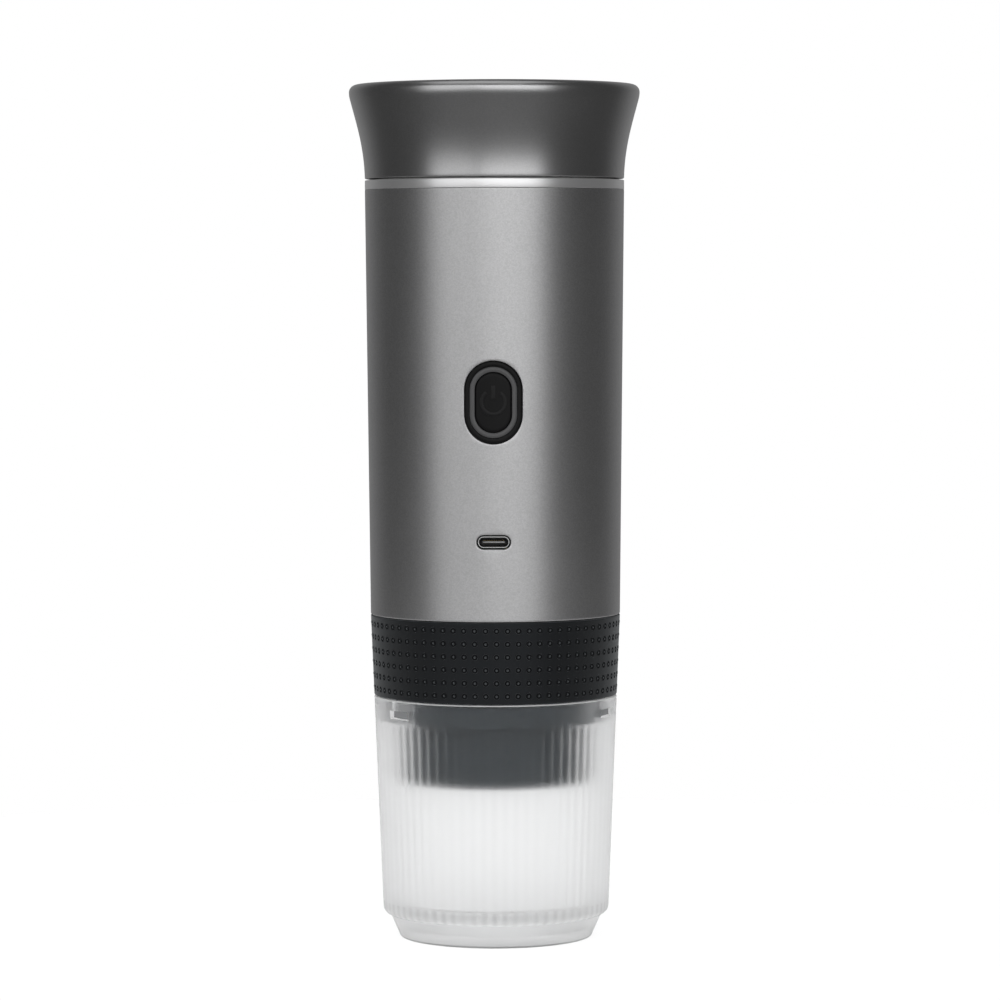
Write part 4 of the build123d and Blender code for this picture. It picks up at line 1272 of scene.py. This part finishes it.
class ESPRESSO_OT_threads(bpy.types.Operator):
    """Wind the thread ridges on the lid's plug and on the brew head's spigot"""

    bl_idname = "espresso.threads"
    bl_label = "Threads"

    HALF_FOOT = 1.1 * MM
    ROOT = 0.3 * MM  # how far a ridge is sunk into its core
    CREST = 0.35  # width of a ridge's crest as a share of its foot
    FADE = 0.08  # share of a ridge over which its ends run out

    def execute(self, context):
        sizes = context.scene.espresso_sizes
        plug, spigot = low("lid_liner") + 2.2 * MM, low("brew_head") + 2.5 * MM
        thread = self.ridge("plug_thread", sizes, sizes.plug_radius, plug, 2, 8 * MM, 0.55)
        done(thread, "lid", "pale_plastic")
        thread = self.ridge("spigot_thread", sizes, sizes.spigot_radius, spigot, 3, 12 * MM, 0.5)
        done(thread, "machine", "black_plastic")
        return {"FINISHED"}

    def ridge(self, name, sizes, radius, level, starts, lead, turns):
        """Ridges of one thread: a small wedge wound along its helix and copied to each start."""
        piece = new_piece(name)
        climb = lead * turns
        bpy.ops.mesh.primitive_plane_add(size=2 * self.HALF_FOOT, location=(radius, 0, level), rotation=UPRIGHT)

        def wedge(point):
            out, share = (sizes.thread_rise, self.CREST) if point.x > radius else (-self.ROOT, 1.0)
            return Vector((radius + out, 0, level + (point.z - level) * share))

        def tapered(point):
            along = (point.z - level) / climb
            fade = max(0.0, min(1.0, along / self.FADE, (1 - along) / self.FADE))
            out = math.hypot(point.x, point.y) - radius
            return at_radius(point, radius + (out * fade if out > 0 else out), point.z)

        settle(wedge)
        everything()
        bpy.ops.mesh.delete(type="ONLY_FACE")
        apply_modifier(
            piece, "SCREW", angle=turns * TURN, screw_offset=climb, steps=64, render_steps=64,
            use_merge_vertices=False, axis="Z",
        )
        open_up()
        merge()
        pick(lambda edge: edge.is_boundary, "EDGE")
        bpy.ops.mesh.edge_face_add()
        everything()
        settle(tapered)
        spin(starts, copies=True)
        tidy_mesh()
        return piece


class ESPRESSO_OT_inner_parts(bpy.types.Operator):
    """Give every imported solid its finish"""

    bl_idname = "espresso.inner_parts"
    bl_label = "Inner parts"

    OTHERS = {  # solids that look unlike the material their slot is named after
        "black_plastic": ("chassis", "temp_sensor"),
        "brass": ("pump_cam",),
        "motor_steel": ("board_screws", "chassis_screws", "motor_shaft", "screen_screws"),
        "pale_plastic": ("lid_liner", "pump_head"),
    }

    def execute(self, context):
        others = {name: finish for finish, names in self.OTHERS.items() for name in names}
        for name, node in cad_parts.items():
            for holder in node.material_slots:
                holder.material = finish_of(others.get(name, holder.material.name))
        return {"FINISHED"}


class ESPRESSO_PT_panel(bpy.types.Panel):
    """Sidebar list of the machine's pieces"""

    bl_idname = "ESPRESSO_PT_panel"
    bl_label = "Espresso machine"
    bl_space_type = "VIEW_3D"
    bl_region_type = "UI"
    bl_category = "Espresso"

    def draw(self, context):
        for step in STEPS:
            self.layout.operator(step.bl_idname)


STEPS = (
    ESPRESSO_OT_stage,
    ESPRESSO_OT_lid,
    ESPRESSO_OT_trim_ring,
    ESPRESSO_OT_shell,
    ESPRESSO_OT_button,
    ESPRESSO_OT_port,
    ESPRESSO_OT_grip_band,
    ESPRESSO_OT_cup,
    ESPRESSO_OT_drip_skirt,
    ESPRESSO_OT_threads,
    ESPRESSO_OT_inner_parts,
)
CLASSES = (EspressoSizes, EspressoColours, *STEPS, ESPRESSO_PT_panel)


def register():
    for each in CLASSES:
        bpy.utils.register_class(each)
    bpy.types.Scene.espresso_sizes = bpy.props.PointerProperty(type=EspressoSizes)
    bpy.types.Scene.espresso_colours = bpy.props.PointerProperty(type=EspressoColours)


def unregister():
    del bpy.types.Scene.espresso_colours
    del bpy.types.Scene.espresso_sizes
    for each in reversed(CLASSES):
        bpy.utils.unregister_class(each)


def main():
    register()
    bpy.ops.espresso.stage()
    bpy.ops.espresso.lid()
    bpy.ops.espresso.trim_ring()
    bpy.ops.espresso.shell()
    bpy.ops.espresso.button()
    bpy.ops.espresso.port()
    bpy.ops.espresso.grip_band()
    bpy.ops.espresso.cup()
    bpy.ops.espresso.drip_skirt()
    bpy.ops.espresso.threads()
    bpy.ops.espresso.inner_parts()


if __name__ == "__main__":
    main()
